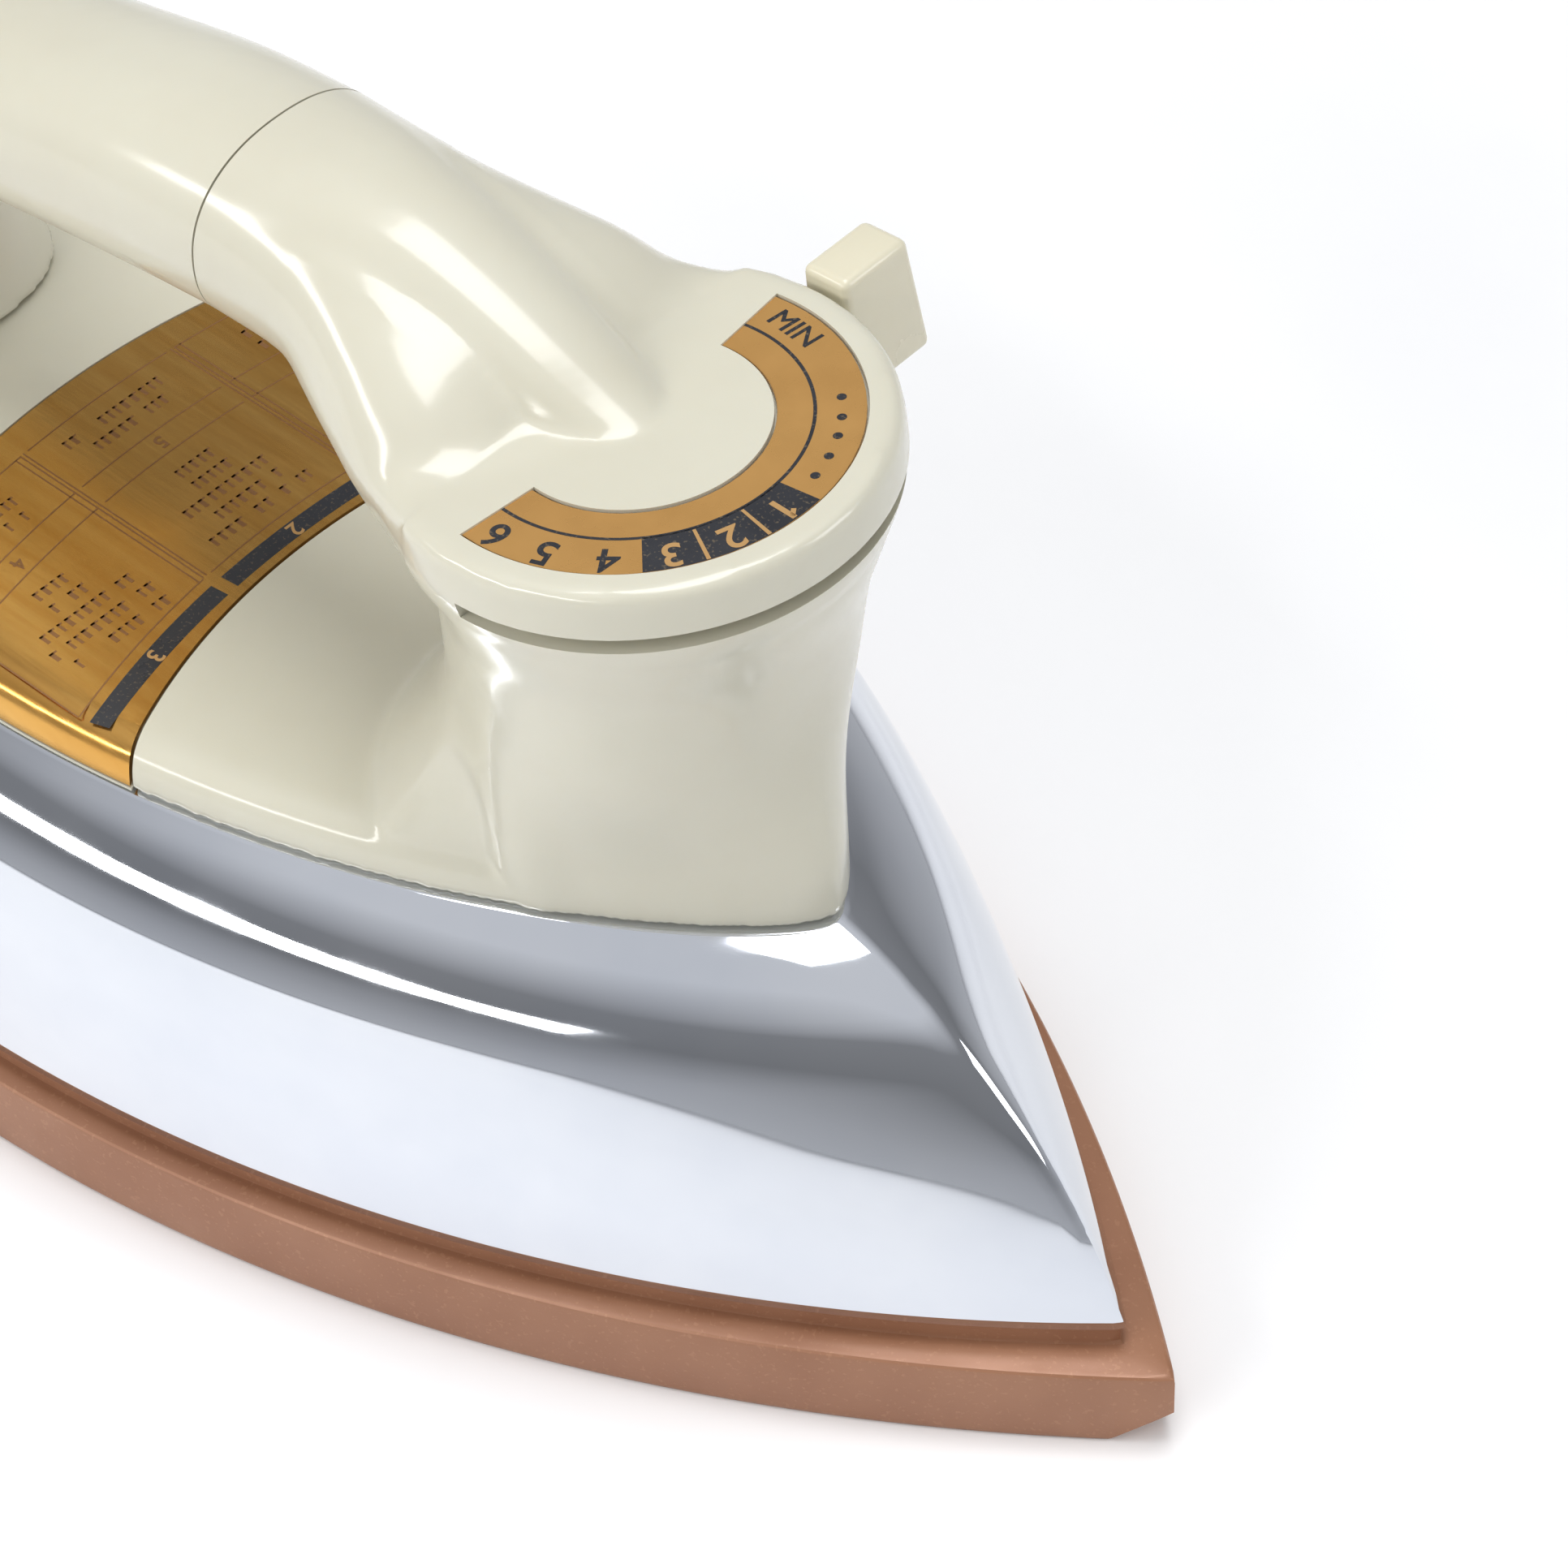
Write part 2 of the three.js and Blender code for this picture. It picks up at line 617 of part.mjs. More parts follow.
function slotCutter() {
  const sweep = capRadius + 12;
  const disc = rod(0, 0, sweep, -capThickness - slotGap, -capThickness, 48);
  const back = box(-60, -0.5, 60, -20, 2);
  const reach = Math.hypot(capRadius, leverArmWidth);
  const hubRoom = rod(0, 0, leverHubRadius + runningGap, -capThickness - slotGap, -capThickness, 32);
  const armRoom = box(-leverArmWidth / 2 - 1.4, 1, reach + 12, -capThickness - slotGap, -capThickness);
  return inWorld(join(cut(disc, back), hubRoom, armRoom));
}

function frontHousing() {
  const plateau = basePlateau(0, baseTopZ).intersect(splitDisc(baseSplitRadius - fitGap / 2));
  const roomTop = dialZ - capThickness - slotGap - 6;
  const room = post(postWall, baseBottomZ - 4, roomTop, 24).intersect(
    box(dialX - 12, dialX + 60, 60, 0, 200));
  const underRoom = basePlateau(baseWall, baseTopZ - baseWall, baseBottomZ - 2)
    .intersect(splitDisc(baseSplitRadius - 4));
  const spindlePath = inWorld(rod(0, 0, spindleRadius + runningGap, -40, -capThickness + 3.4, 24));
  const recess = inWorld(prism(scaleOutline(-0.25), -scaleRecess, 5));
  const [screwX, screwY] = handleScrewPlaces[0];
  const boss = rod(screwX, screwY, 5, baseBottomZ, baseTopZ + 4, 16);
  const shellScrewRoom = rod(...spacerPlaces[0], 6, shellTopZ - 5, baseTopZ - baseWall, 16);
  const hollow = cut(join(headBody(), plateau), room, underRoom, shellScrewRoom);
  return cut(join(hollow, boss), slotCutter(), spindlePath, recess,
    tongue(fitGap, tongueLength + fitGap),
    rod(screwX, screwY, screwHoleRadius, shellTopZ - 5, baseTopZ + 9, 12));
}

function scaleOutline(shrink) {
  const reach = Math.PI / 2 + 0.1;
  const steps = 36;
  const arc = (radius) => Array.from({ length: steps + 1 }, (_, i) => {
    const angle = -reach + (2 * reach * i) / steps;
    const x = Math.max(Math.cos(angle) * radius, shrink - scaleBack);
    return new THREE.Vector2(x, Math.sin(angle) * radius);
  });
  return [...arc(scaleOuterRadius - shrink), ...arc(scaleInnerRadius + shrink).reverse()];
}

function dialScalePlate() {
  return prism(scaleOutline(0.05), -scaleRecess + fitGap / 2, -scaleRecess + fitGap / 2 + scaleThickness);
}

// ---------- handle ----------
function grip() {
  const length = seamX - fitGap / 2 - gripRearX;
  const sections = [
    [0, 1, 14.7, 12.4, 0],
    [0.16, 0.905, 14.7, 12.4, -6],
    [0.36, 0.702, 14.1, 12, -8],
    [0.56, 0.5, 13.8, 11.8, -8],
    [0.76, 0.31, 14.2, 12, -9],
    [0.92, 0.131, 14.8, 12.2, -12],
    [1, 0, 14.4, 11.6, -16],
  ];
  const widthScale = gripHalfWidth / 14.7;
  const heightScale = gripHalfHeight / 12.4;
  return loft(sections.map(([t, rise, w, h, lean]) => oval(seamX - fitGap / 2 - length * t,
    THREE.MathUtils.lerp(gripRearZ, gripSeamZ, rise), w * widthScale, h * heightScale, rad(-lean))));
}

function rearPostRing(z, shrink) {
  const t = (z - baseTopZ) / (gripRearZ - baseTopZ);
  const foot = rearFootReach * clamp01(1 - t * 2.2) ** 2;
  const centreX = rearPostX + rearPostLean * t;
  const depth = rearPostDepth - 2 * t + foot - shrink;
  const width = THREE.MathUtils.lerp(rearPostHalfWidth, gripHalfWidth - 0.4, t) + foot * 0.7 - shrink;
  const points = [];
  const around = 28;
  for (let i = 0; i < around; i++) {
    const angle = (i / around) * Math.PI * 2;
    const c = Math.cos(angle);
    const s = Math.sin(angle);
    points.push(vec(centreX + Math.sign(c) * Math.abs(c) ** 0.75 * depth,
      Math.sign(s) * Math.abs(s) ** 0.75 * width, z));
  }
  return points;
}

function rearPost(shrink, lowZ, highZ) {
  const rings = [];
  const steps = 6;
  for (let i = 0; i <= steps; i++) rings.push(rearPostRing(lowZ + ((highZ - lowZ) * i) / steps, shrink));
  return loft(rings);
}

const roomLowZ = baseTopZ + 7;
const roomHighZ = gripRearZ + 3;

function handleBody() {
  const roomHalfWidth = rearPostHalfWidth - rearPostWall - 2;
  const room = box(coverFaceX - 20, rearPostX + 3, roomHalfWidth, roomLowZ, roomHighZ);
  const [screwX, screwY] = handleScrewPlaces[1];
  const body = join(grip(), rearPost(0, baseTopZ + fitGap, gripRearZ), tongue(0, tongueLength));
  return cut(body, box(-300, coverFaceX + fitGap / 2, 100, 0, 200), room,
    rod(...leadHole, leadHoleRadius, shellTopZ, roomLowZ + 1),
    rod(screwX, screwY, screwHoleRadius, shellTopZ, baseTopZ + 9, 12));
}

function baseCover() {
  const under = cut(basePlateau(baseWall, baseTopZ - baseWall, baseBottomZ - 2),
    splitDisc(baseSplitRadius + 3));
  const body = cut(basePlateau(0, baseTopZ), splitDisc(baseSplitRadius + fitGap / 2), under);
  const [screwX, screwY] = handleScrewPlaces[1];
  const boss = rod(screwX, screwY, 5, baseBottomZ, baseTopZ - 1, 16);
  return cut(join(body, boss), rod(...leadHole, leadHoleRadius, shellTopZ, baseTopZ + 5),
    rod(screwX, screwY, screwHoleRadius, shellTopZ, baseTopZ + 5, 12), chartRoom());
}

// The thin gold plate is let into the base cover and folded down over both of its edges.
function chartBand(outerGrow, innerGrow, frontGap, lowZ) {
  const skin = cut(basePlateau(outerGrow, baseTopZ - outerGrow),
    basePlateau(innerGrow, baseTopZ - innerGrow, baseBottomZ - 3));
  return cut(skin.intersect(baseDisc(dialX, chartRearRadius)), splitDisc(baseSplitRadius + frontGap),
    box(-300, 300, 100, 0, lowZ));
}

function chartRoom() {
  const skin = cut(basePlateau(-1, baseTopZ + 1), basePlateau(chartThickness + fitGap,
    baseTopZ - chartThickness - fitGap, baseBottomZ - 3));
  return cut(skin.intersect(baseDisc(dialX, chartRearRadius + fitGap)),
    box(-300, 300, 100, 0, baseBottomZ + 0.4));
}

function fabricChartPlate() {
  return chartBand(0, chartThickness, fitGap, baseBottomZ + 0.7);
}

// ---------- rear ----------
const coverCentreZ = baseTopZ + 2 + coverHeight / 2;
const glandZ = coverCentreZ + 9;
const lensZ = coverCentreZ - 11.5;

function coverSection(inset, x) {
  const points = [];
  const around = 36;
  for (let i = 0; i < around; i++) {
    const angle = (i / around) * Math.PI * 2;
    const c = Math.cos(angle);
    const s = Math.sin(angle);
    points.push(vec(x, Math.sign(c) * Math.abs(c) ** 0.6 * (gripHalfWidth - 0.6 - inset),
      coverCentreZ + Math.sign(s) * Math.abs(s) ** 0.6 * (coverHeight / 2 - inset)));
  }
  return points;
}

function alongX(y, z, radius, lowX, highX, sides = 20) {
  const geometry = new THREE.CylinderGeometry(radius, radius, highX - lowX, sides);
  return toSolid(geometry.rotateZ(Math.PI / 2).translate((lowX + highX) / 2, y, z));
}

const coverInnerX = coverFaceX - fitGap / 2;
const coverOuterX = coverInnerX - coverThickness;

function rearCover() {
  const plate = loft([
    coverSection(0, coverInnerX),
    coverSection(0, coverInnerX - coverThickness * 0.5),
    coverSection(1.4, coverOuterX),
  ]);
  return cut(plate, alongX(0, glandZ, glandRadius - 1.5, coverOuterX - 5, coverInnerX + 5),
    alongX(0, lensZ, lensRadius - 1 + fitGap, coverOuterX - 5, coverInnerX + 5),
    ...coverScrewHeights.map((z) => alongX(0, z, 1.7, coverOuterX - 5, coverInnerX + 5, 12)));
}
const coverScrewHeights = [coverCentreZ - 19, coverCentreZ + 19.3];

function coverScrew(z) {
  return join(alongX(0, z, 1.4, coverOuterX - 1, coverFaceX + 0.1 - fitGap, 12),
    alongX(0, z, 2.6, coverOuterX - fitGap - 1.2, coverOuterX - fitGap, 16));
}

// A flanged gland that grips the wall of the rear cover from both sides.
function cordGland() {
  const outside = coverOuterX - fitGap;
  const body = join(alongX(0, glandZ, glandRadius, outside - 3, outside, 28),
    alongX(0, glandZ, glandRadius - 1.8, outside - glandLength + 4, coverInnerX + fitGap + 2, 24),
    alongX(0, glandZ, glandRadius - 0.4, coverInnerX + fitGap, coverInnerX + fitGap + 1.6, 24));
  return cut(body, alongX(0, glandZ, cordBore, outside - glandLength - 5, coverInnerX + 9, 24));
}

function lampLens() {
  const outside = coverOuterX - fitGap;
  const dome = new THREE.SphereGeometry(lensRadius, 16, 10);
  dome.scale(0.5, 1, 1).translate(outside, 0, lensZ);
  return join(toSolid(dome).intersect(box(outside - 9, outside, 20, 0, 200)),
    alongX(0, lensZ, lensRadius - 1, outside - 0.5, coverInnerX + 1));
}

function pilotLamp() {
  const profile = [[0, 0], [2.2, 0], [2.4, 0.6], [2.4, 3.6], [1.6, 4.8], [0, 5.2]];
  const bulb = new THREE.LatheGeometry(profile.map(([x, y]) => new THREE.Vector2(x, y)), 14);
  return toSolid(bulb.rotateZ(-Math.PI / 2).translate(coverInnerX + 1.5, 0, lensZ));
}

const terminalPitch = 6;
const terminalPlaces = [-terminalPitch, 0, terminalPitch];
const blockX = coverInnerX + 10;
const blockLowZ = lensZ + 5;
const blockHeight = 9;

function terminalBlock() {
  const geometry = new RoundedBoxGeometry(8, 19, blockHeight, 1, 0.8);
  const body = toSolid(geometry.translate(blockX, 0, blockLowZ + blockHeight / 2));
  return cut(body, ...terminalPlaces.map((y) =>
    alongX(y, blockLowZ + blockHeight / 2, 2.3, blockX - 6, blockX, 12)));
}

function terminalScrew(y) {
  const z = blockLowZ + blockHeight / 2;
  return join(alongX(y, z, 1.2, blockX - 4.6, blockX - 0.6, 10),
    alongX(y, z, 2, blockX - 5.4, blockX - 4, 10));
}

function cordClamp() {
  const x = coverInnerX + 8;
  const z = glandZ;
  const saddle = new RoundedBoxGeometry(5, 18, 4, 1, 0.6);
  saddle.translate(x, 0, z + cordBore + 1.2);
  const channel = alongX(0, z, cordBore, x - 6, x + 6, 16);
  return cut(toSolid(saddle), channel, rod(x, 6.6, 1.5, z, z + 12, 10), rod(x, -6.6, 1.5, z, z + 12, 10));
}

// ---------- thermostat, in the dial frame ----------
const stackFootZ = soleTopZ + 5.6 - dialZ;
const above = (low, high) => [stackFootZ + low, stackFootZ + high];
const layers = {
  bimetal: above(0.3, 1.5),
  lowerInsulator: above(1.8, 4.6),
  fixedArm: above(4.9, 5.7),
  middleInsulator: above(6, 8.7),
  movingArm: above(9, 9.6),
  upperInsulator: above(9.9, 12.3),
  support: above(12.6, 14.1),
};
const stackScrewDepth = 10.5;    // under the foot of the stack, into the sole
const stackHole = (low, high) => rod(stackOffset, 0, stackScrewRadius + 0.2, low, high, 12);
const contactX = 8;
const contactMeetZ = layers.fixedArm[1] + 1.1;
const contactGap = 0.55;
const contact = (lowZ, highZ) => rod(contactX, 0, 1.8, lowZ, highZ, 14);

function thermostatBase() {
  const foot = box(stackOffset - 7, bladeReach + 6, 7, stackFootZ - stackScrewDepth, stackFootZ);
  const trimmed = inWorld(foot).intersect(box(-300, 300, 50, insulationZ, 200));
  return cut(trimmed, inWorld(stackHole(stackFootZ - 26, stackFootZ + 13)));
}

function blade(span, width) {
  const [low, high] = span;
  const strip = box(stackOffset - 5.5, bladeReach, width / 2, low, high);
  return cut(strip, stackHole(low - 1, high + 1));
}

function insulator([low, high]) {
  return ring(stackOffset, 0, insulatorRadius, stackScrewRadius + 0.2, low, high, 18);
}

function supportArm() {
  const way = rod(0, 0, spindleRadius + runningGap, layers.support[0] - 1, layers.support[1] + 1, 24);
  return cut(blade(layers.support, 14), way);
}

function spindleBush() {
  const seat = layers.support[1] + fitGap;
  return ring(0, 0, 5.5, spindleRadius + runningGap, seat, seat + 8, 24);
}

function stackScrew() {
  const seat = layers.support[1] + fitGap;
  return join(rod(stackOffset, 0, stackScrewRadius, stackFootZ - stackScrewDepth, seat + 1, 12),
    rod(stackOffset, 0, 3.4, seat, seat + 2.2, 16));
}

function controlSpindle() {
  const top = -capThickness + 3;
  const bottom = layers.support[0] - 0.4;
  return rod(0, 0, spindleRadius, bottom, top, 20);
}

function adjustingPin() {
  return rod(0, 0, 1.5, layers.movingArm[1] + fitGap, layers.support[0] - 0.4 - fitGap, 12);
}

// ---------- lever, in the dial frame, drawn pointing to the nose ----------
function temperatureLever() {
  const middle = -capThickness - slotGap / 2;
  const low = middle - leverThickness / 2;
  const high = middle + leverThickness / 2;
  const hub = rod(0, 0, leverHubRadius, low, high, 28);
  const arm = box(0, knobInnerRadius + 2, leverArmWidth / 2, low, high);
  const knob = new RoundedBoxGeometry(knobDepth, knobWidth, knobHeight, 2, 1);
  knob.translate(knobDepth / 2, 0, -knobHeight / 2);
  const place = knob.attributes.position;
  for (let i = 0; i < place.count; i++) {
    const down = -place.getZ(i) / knobHeight;
    place.setX(i, place.getX(i) * (1 + 0.18 * down));
    place.setY(i, place.getY(i) * (1 + 0.08 * down));
  }
  knob.translate(knobInnerRadius, 0, knobRise);
  return cut(join(hub, arm, toSolid(knob)), rod(0, 0, spindleRadius + 0.3, low - 1, high + 1, 20));
}

// ---------- wiring ----------
function leads() {
  const [leftPin, rightPin] = elementEnds();
  const pinTop = ballastTopZ + 10.5;
  const [holeX, holeY] = leadHole;
  const spread = 3.4;
  const riser = (side) => [
    vec(holeX, holeY + side * spread, shellTopZ - 4),
    vec(holeX, holeY + side * spread, roomLowZ + 1),
    vec(blockX, side * terminalPitch, blockLowZ - 0.6),
  ];
  const stackEnd = dialX - 15.6;
  const bolt = ballastBoltPlaces[1];
  return {
    live_lead: [
      vec(stackEnd, 0, ballastTopZ + 5.3), vec(stackEnd - 8, -5, ballastTopZ + 9),
      vec(spacerPlaces[0][0], -10, ballastTopZ + 12), vec(spacerPlaces[1][0], -10, ballastTopZ + 16),
      vec(holeX + 8, -5, ballastTopZ + 21), ...riser(-1),
    ],
    element_lead: [
      vec(stackEnd + 0.5, -2.2, ballastTopZ + 1.8), vec(stackEnd - 8, -9, ballastTopZ + 5),
      vec(spacerPlaces[0][0], -15, ballastTopZ + 6), vec(-40, -26, ballastTopZ + 8),
      vec(rightPin.x + 7, rightPin.y + 1, pinTop),
    ],
    neutral_lead: [
      vec(leftPin.x + 3.5, leftPin.y - 1, pinTop), vec(leftPin.x - 4, leftPin.y - 8, pinTop + 4),
      vec(holeX + 5, 9, shellTopZ - 9), ...riser(1),
    ],
    earth_lead: [
      vec(bolt[0] - 1, bolt[1], ballastTopZ + 5), vec(bolt[0] - 8, bolt[1] - 4, ballastTopZ + 9),
      vec(spacerPlaces[1][0], 9.5, ballastTopZ + 14), vec(holeX + 3, 0, ballastTopZ + 21), ...riser(0),
    ],
  };
}

// ---------- the assembly ----------
const group = new THREE.Group();
const dialFrame = new THREE.Group();
dialFrame.position.copy(dialPoint);
dialFrame.rotation.y = rad(-dialLean);
group.add(dialFrame);

function add(name, solid, finish, parent = group) {
  const mesh = new THREE.Mesh(toGeometry(solid), new THREE.MeshStandardMaterial(finishes[finish]));
  mesh.name = name;
  parent.add(mesh);
  return mesh;
}

add('soleplate', soleplate(), 'sole');
add('heating_element', heatingElement(), 'steel');
add('element_terminal_left', terminalPin(1), 'steel');
add('element_terminal_right', terminalPin(-1), 'steel');
add('insulation_sheet', insulationSheet(), 'mica');
add('ballast_plate', ballastPlate(), 'castIron');
['front', 'rear_left', 'rear_right'].forEach((place, i) =>
  add(`ballast_bolt_${place}`, ballastBolt(ballastBoltPlaces[i]), 'steel'));
add('chrome_shell', chromeShell(), 'chrome');
['front', 'rear'].forEach((place, i) => {
  add(`spacer_post_${place}`, spacerPost(spacerPlaces[i]), 'steel');
  add(`shell_screw_${place}`, shellScrew(spacerPlaces[i]), 'steel');
  add(`handle_screw_${place}`, handleScrew(handleScrewPlaces[i]), 'steel');
});
add('front_housing', frontHousing(), 'cream');
add('dial_scale_plate', dialScalePlate(), 'gold', dialFrame);
add('handle_body', handleBody(), 'cream');
add('base_cover', baseCover(), 'cream');
add('fabric_chart_plate', fabricChartPlate(), 'gold');
add('rear_cover', rearCover(), 'cream');
['lower', 'upper'].forEach((place, i) =>
  add(`rear_cover_screw_${place}`, coverScrew(coverScrewHeights[i]), 'steel'));
add('cord_gland', cordGland(), 'cream');
add('lamp_lens', lampLens(), 'glassRed');
add('pilot_lamp', pilotLamp(), 'glassRed');
add('terminal_block', terminalBlock(), 'bakelite');
['live', 'earth', 'neutral'].forEach((place, i) =>
  add(`terminal_screw_${place}`, terminalScrew(terminalPlaces[i]), 'brass'));
add('cord_clamp', cordClamp(), 'bakelite');
for (const [name, points] of Object.entries(leads())) {
  add(name, tube(points, leadRadius, 6, 18), 'leadSleeve');
}

add('thermostat_base', thermostatBase(), 'steel');
add('bimetal_strip', blade(layers.bimetal, bladeWidth), 'steel', dialFrame);
add('insulator_lower', insulator(layers.lowerInsulator), 'ceramic', dialFrame);
add('fixed_contact_arm', blade(layers.fixedArm, bladeWidth), 'brass', dialFrame);
add('fixed_contact', contact(layers.fixedArm[1] + fitGap / 2, contactMeetZ), 'silver', dialFrame);
add('insulator_middle', insulator(layers.middleInsulator), 'ceramic', dialFrame);
add('moving_contact_arm', blade(layers.movingArm, bladeWidth), 'brass', dialFrame);
add('moving_contact', contact(contactMeetZ + contactGap, layers.movingArm[0] - fitGap / 2), 'silver',
  dialFrame);
add('insulator_upper', insulator(layers.upperInsulator), 'ceramic', dialFrame);
add('support_arm', supportArm(), 'steel', dialFrame);
add('spindle_bush', spindleBush(), 'brass', dialFrame);
add('stack_screw', stackScrew(), 'steel', dialFrame);
add('adjusting_pin', adjustingPin(), 'ceramic', dialFrame);
add('control_spindle', controlSpindle(), 'steel', dialFrame);
const lever = add('temperature_lever', temperatureLever(), 'creamKnob', dialFrame);
lever.rotation.z = Math.PI / 2;

group.updateMatrixWorld(true);
export default group;
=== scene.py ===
# A heavy dry iron: chrome shell, cream handle, gold plates, copper coloured sole.
import json
import math
import random
import bmesh
import bpy
from mathutils import Matrix, Vector


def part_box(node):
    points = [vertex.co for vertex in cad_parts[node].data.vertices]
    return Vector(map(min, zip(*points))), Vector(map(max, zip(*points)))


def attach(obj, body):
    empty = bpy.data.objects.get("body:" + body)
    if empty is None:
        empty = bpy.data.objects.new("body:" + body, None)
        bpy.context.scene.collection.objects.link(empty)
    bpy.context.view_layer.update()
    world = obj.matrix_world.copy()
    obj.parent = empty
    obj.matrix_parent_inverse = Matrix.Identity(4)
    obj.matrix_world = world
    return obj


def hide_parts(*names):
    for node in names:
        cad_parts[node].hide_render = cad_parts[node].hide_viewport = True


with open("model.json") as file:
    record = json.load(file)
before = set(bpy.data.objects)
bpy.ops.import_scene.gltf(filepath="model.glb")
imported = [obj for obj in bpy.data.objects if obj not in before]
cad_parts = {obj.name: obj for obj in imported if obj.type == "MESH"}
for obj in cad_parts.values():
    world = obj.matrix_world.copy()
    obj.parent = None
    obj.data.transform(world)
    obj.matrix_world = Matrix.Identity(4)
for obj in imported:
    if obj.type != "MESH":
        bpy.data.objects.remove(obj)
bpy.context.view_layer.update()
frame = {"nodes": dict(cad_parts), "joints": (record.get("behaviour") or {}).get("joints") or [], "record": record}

mm = 0.001
scene = bpy.context.scene
nodes = frame["nodes"]
leverJoint = next(j for j in frame["joints"] if j["name"] == "lever_turn")
dialPoint = Vector(leverJoint["pos_m"]) / mm
dialLean = math.atan2(-leverJoint["axis"][0], leverJoint["axis"][2])
dialX, dialZ = dialPoint.x, dialPoint.z
soleLow, soleHigh = (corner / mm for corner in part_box("soleplate"))
shellLow, shellHigh = (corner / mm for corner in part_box("chrome_shell"))
coverLow, coverHigh = (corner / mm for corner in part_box("base_cover"))
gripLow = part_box("handle_body")[0] / mm
baseBottom, baseTop = coverLow.z, coverHigh.z
gap = 0.3
dialPlace = Matrix.Translation(dialPoint * mm) @ Matrix.Rotation(-dialLean, 4, "Y")
print("frame loaded")

# camera and light
camera = {"place": (0.3594, -0.3060, 0.5247), "azimuth": 44.22, "elevation": 46.77, "roll": -2.66,
          "lens": 129.71, "sensor": 36}
studio = {"target": (0, 0, 0.05),
          "sky": [(0.0, 0.5), (0.14, 0.44), (0.3, 0.34), (0.45, 0.22), (0.72, 0.26), (0.9, 0.7)],
          "tint": (0.97, 0.985, 1.02),
          "lights": [("keySoftbox", (-0.3, -1.0, 0.72), 1.5, 0.16, 9, (1, 0.995, 0.98)),
                     ("topSoftbox", (0.0, 0.1, 1.2), 0.6, 0.6, 7.5, (0.99, 0.995, 1)),
                     ("sideSoftbox", (0.9, 0.6, 0.6), 0.4, 0.4, 2.5, (0.97, 0.98, 1))]}


def makeCamera():
    data = bpy.data.cameras.new("camera")
    data.lens = camera["lens"]
    data.sensor_width = camera["sensor"]
    data.clip_start = 0.01
    azimuth, elevation, roll = (math.radians(camera[k]) for k in ("azimuth", "elevation", "roll"))
    level = math.cos(elevation)
    back = Vector((math.sin(azimuth) * level, -math.cos(azimuth) * level, math.sin(elevation)))
    right = Vector((math.cos(azimuth), math.sin(azimuth), 0))
    up = back.cross(right)
    xAxis = math.cos(roll) * right + math.sin(roll) * up
    yAxis = -math.sin(roll) * right + math.cos(roll) * up
    turn = Matrix((xAxis, yAxis, back)).transposed().to_4x4()
    obj = bpy.data.objects.new("camera", data)
    obj.matrix_world = Matrix.Translation(camera["place"]) @ turn
    scene.collection.objects.link(obj)
    scene.camera = obj


def makeLights():
    for name, place, wide, tall, power, color in studio["lights"]:
        data = bpy.data.lights.new(name, "AREA")
        data.energy = power
        data.color = color
        data.size = wide
        if tall != wide:
            data.shape = "RECTANGLE"
            data.size_y = tall
        obj = bpy.data.objects.new(name, data)
        obj.location = place
        obj.rotation_euler = (Vector(place) - Vector(studio["target"])).to_track_quat("Z", "Y").to_euler()
        scene.collection.objects.link(obj)


def makeWorld():
    world = bpy.data.worlds.new("studio")
    world.use_nodes = True
    tree = world.node_tree
    coords = tree.nodes.new("ShaderNodeTexCoord")
    split = tree.nodes.new("ShaderNodeSeparateXYZ")
    ramp = tree.nodes.new("ShaderNodeValToRGB")
    tree.links.new(coords.outputs["Generated"], split.inputs[0])
    tree.links.new(split.outputs["Z"], ramp.inputs[0])
    stops = studio["sky"]
    ramp.color_ramp.elements[0].position = stops[0][0]
    ramp.color_ramp.elements[1].position = stops[-1][0]
    for place, _ in stops[1:-1]:
        ramp.color_ramp.elements.new(place)
    for element, (_, value) in zip(ramp.color_ramp.elements, stops):
        element.color = tuple(value * share for share in studio["tint"]) + (1,)
    tree.links.new(ramp.outputs[0], tree.nodes["Background"].inputs[0])
    tree.nodes["Background"].inputs[1].default_value = 1.0
    scene.world = world


# materials: one look per finish, worked out on object coordinates
def linear(color):
    shares = (c / 255 for c in color)
    return tuple(c / 12.92 if c <= 0.0404 else ((c + 0.055) / 1.055) ** 2.4 for c in shares) + (1,)


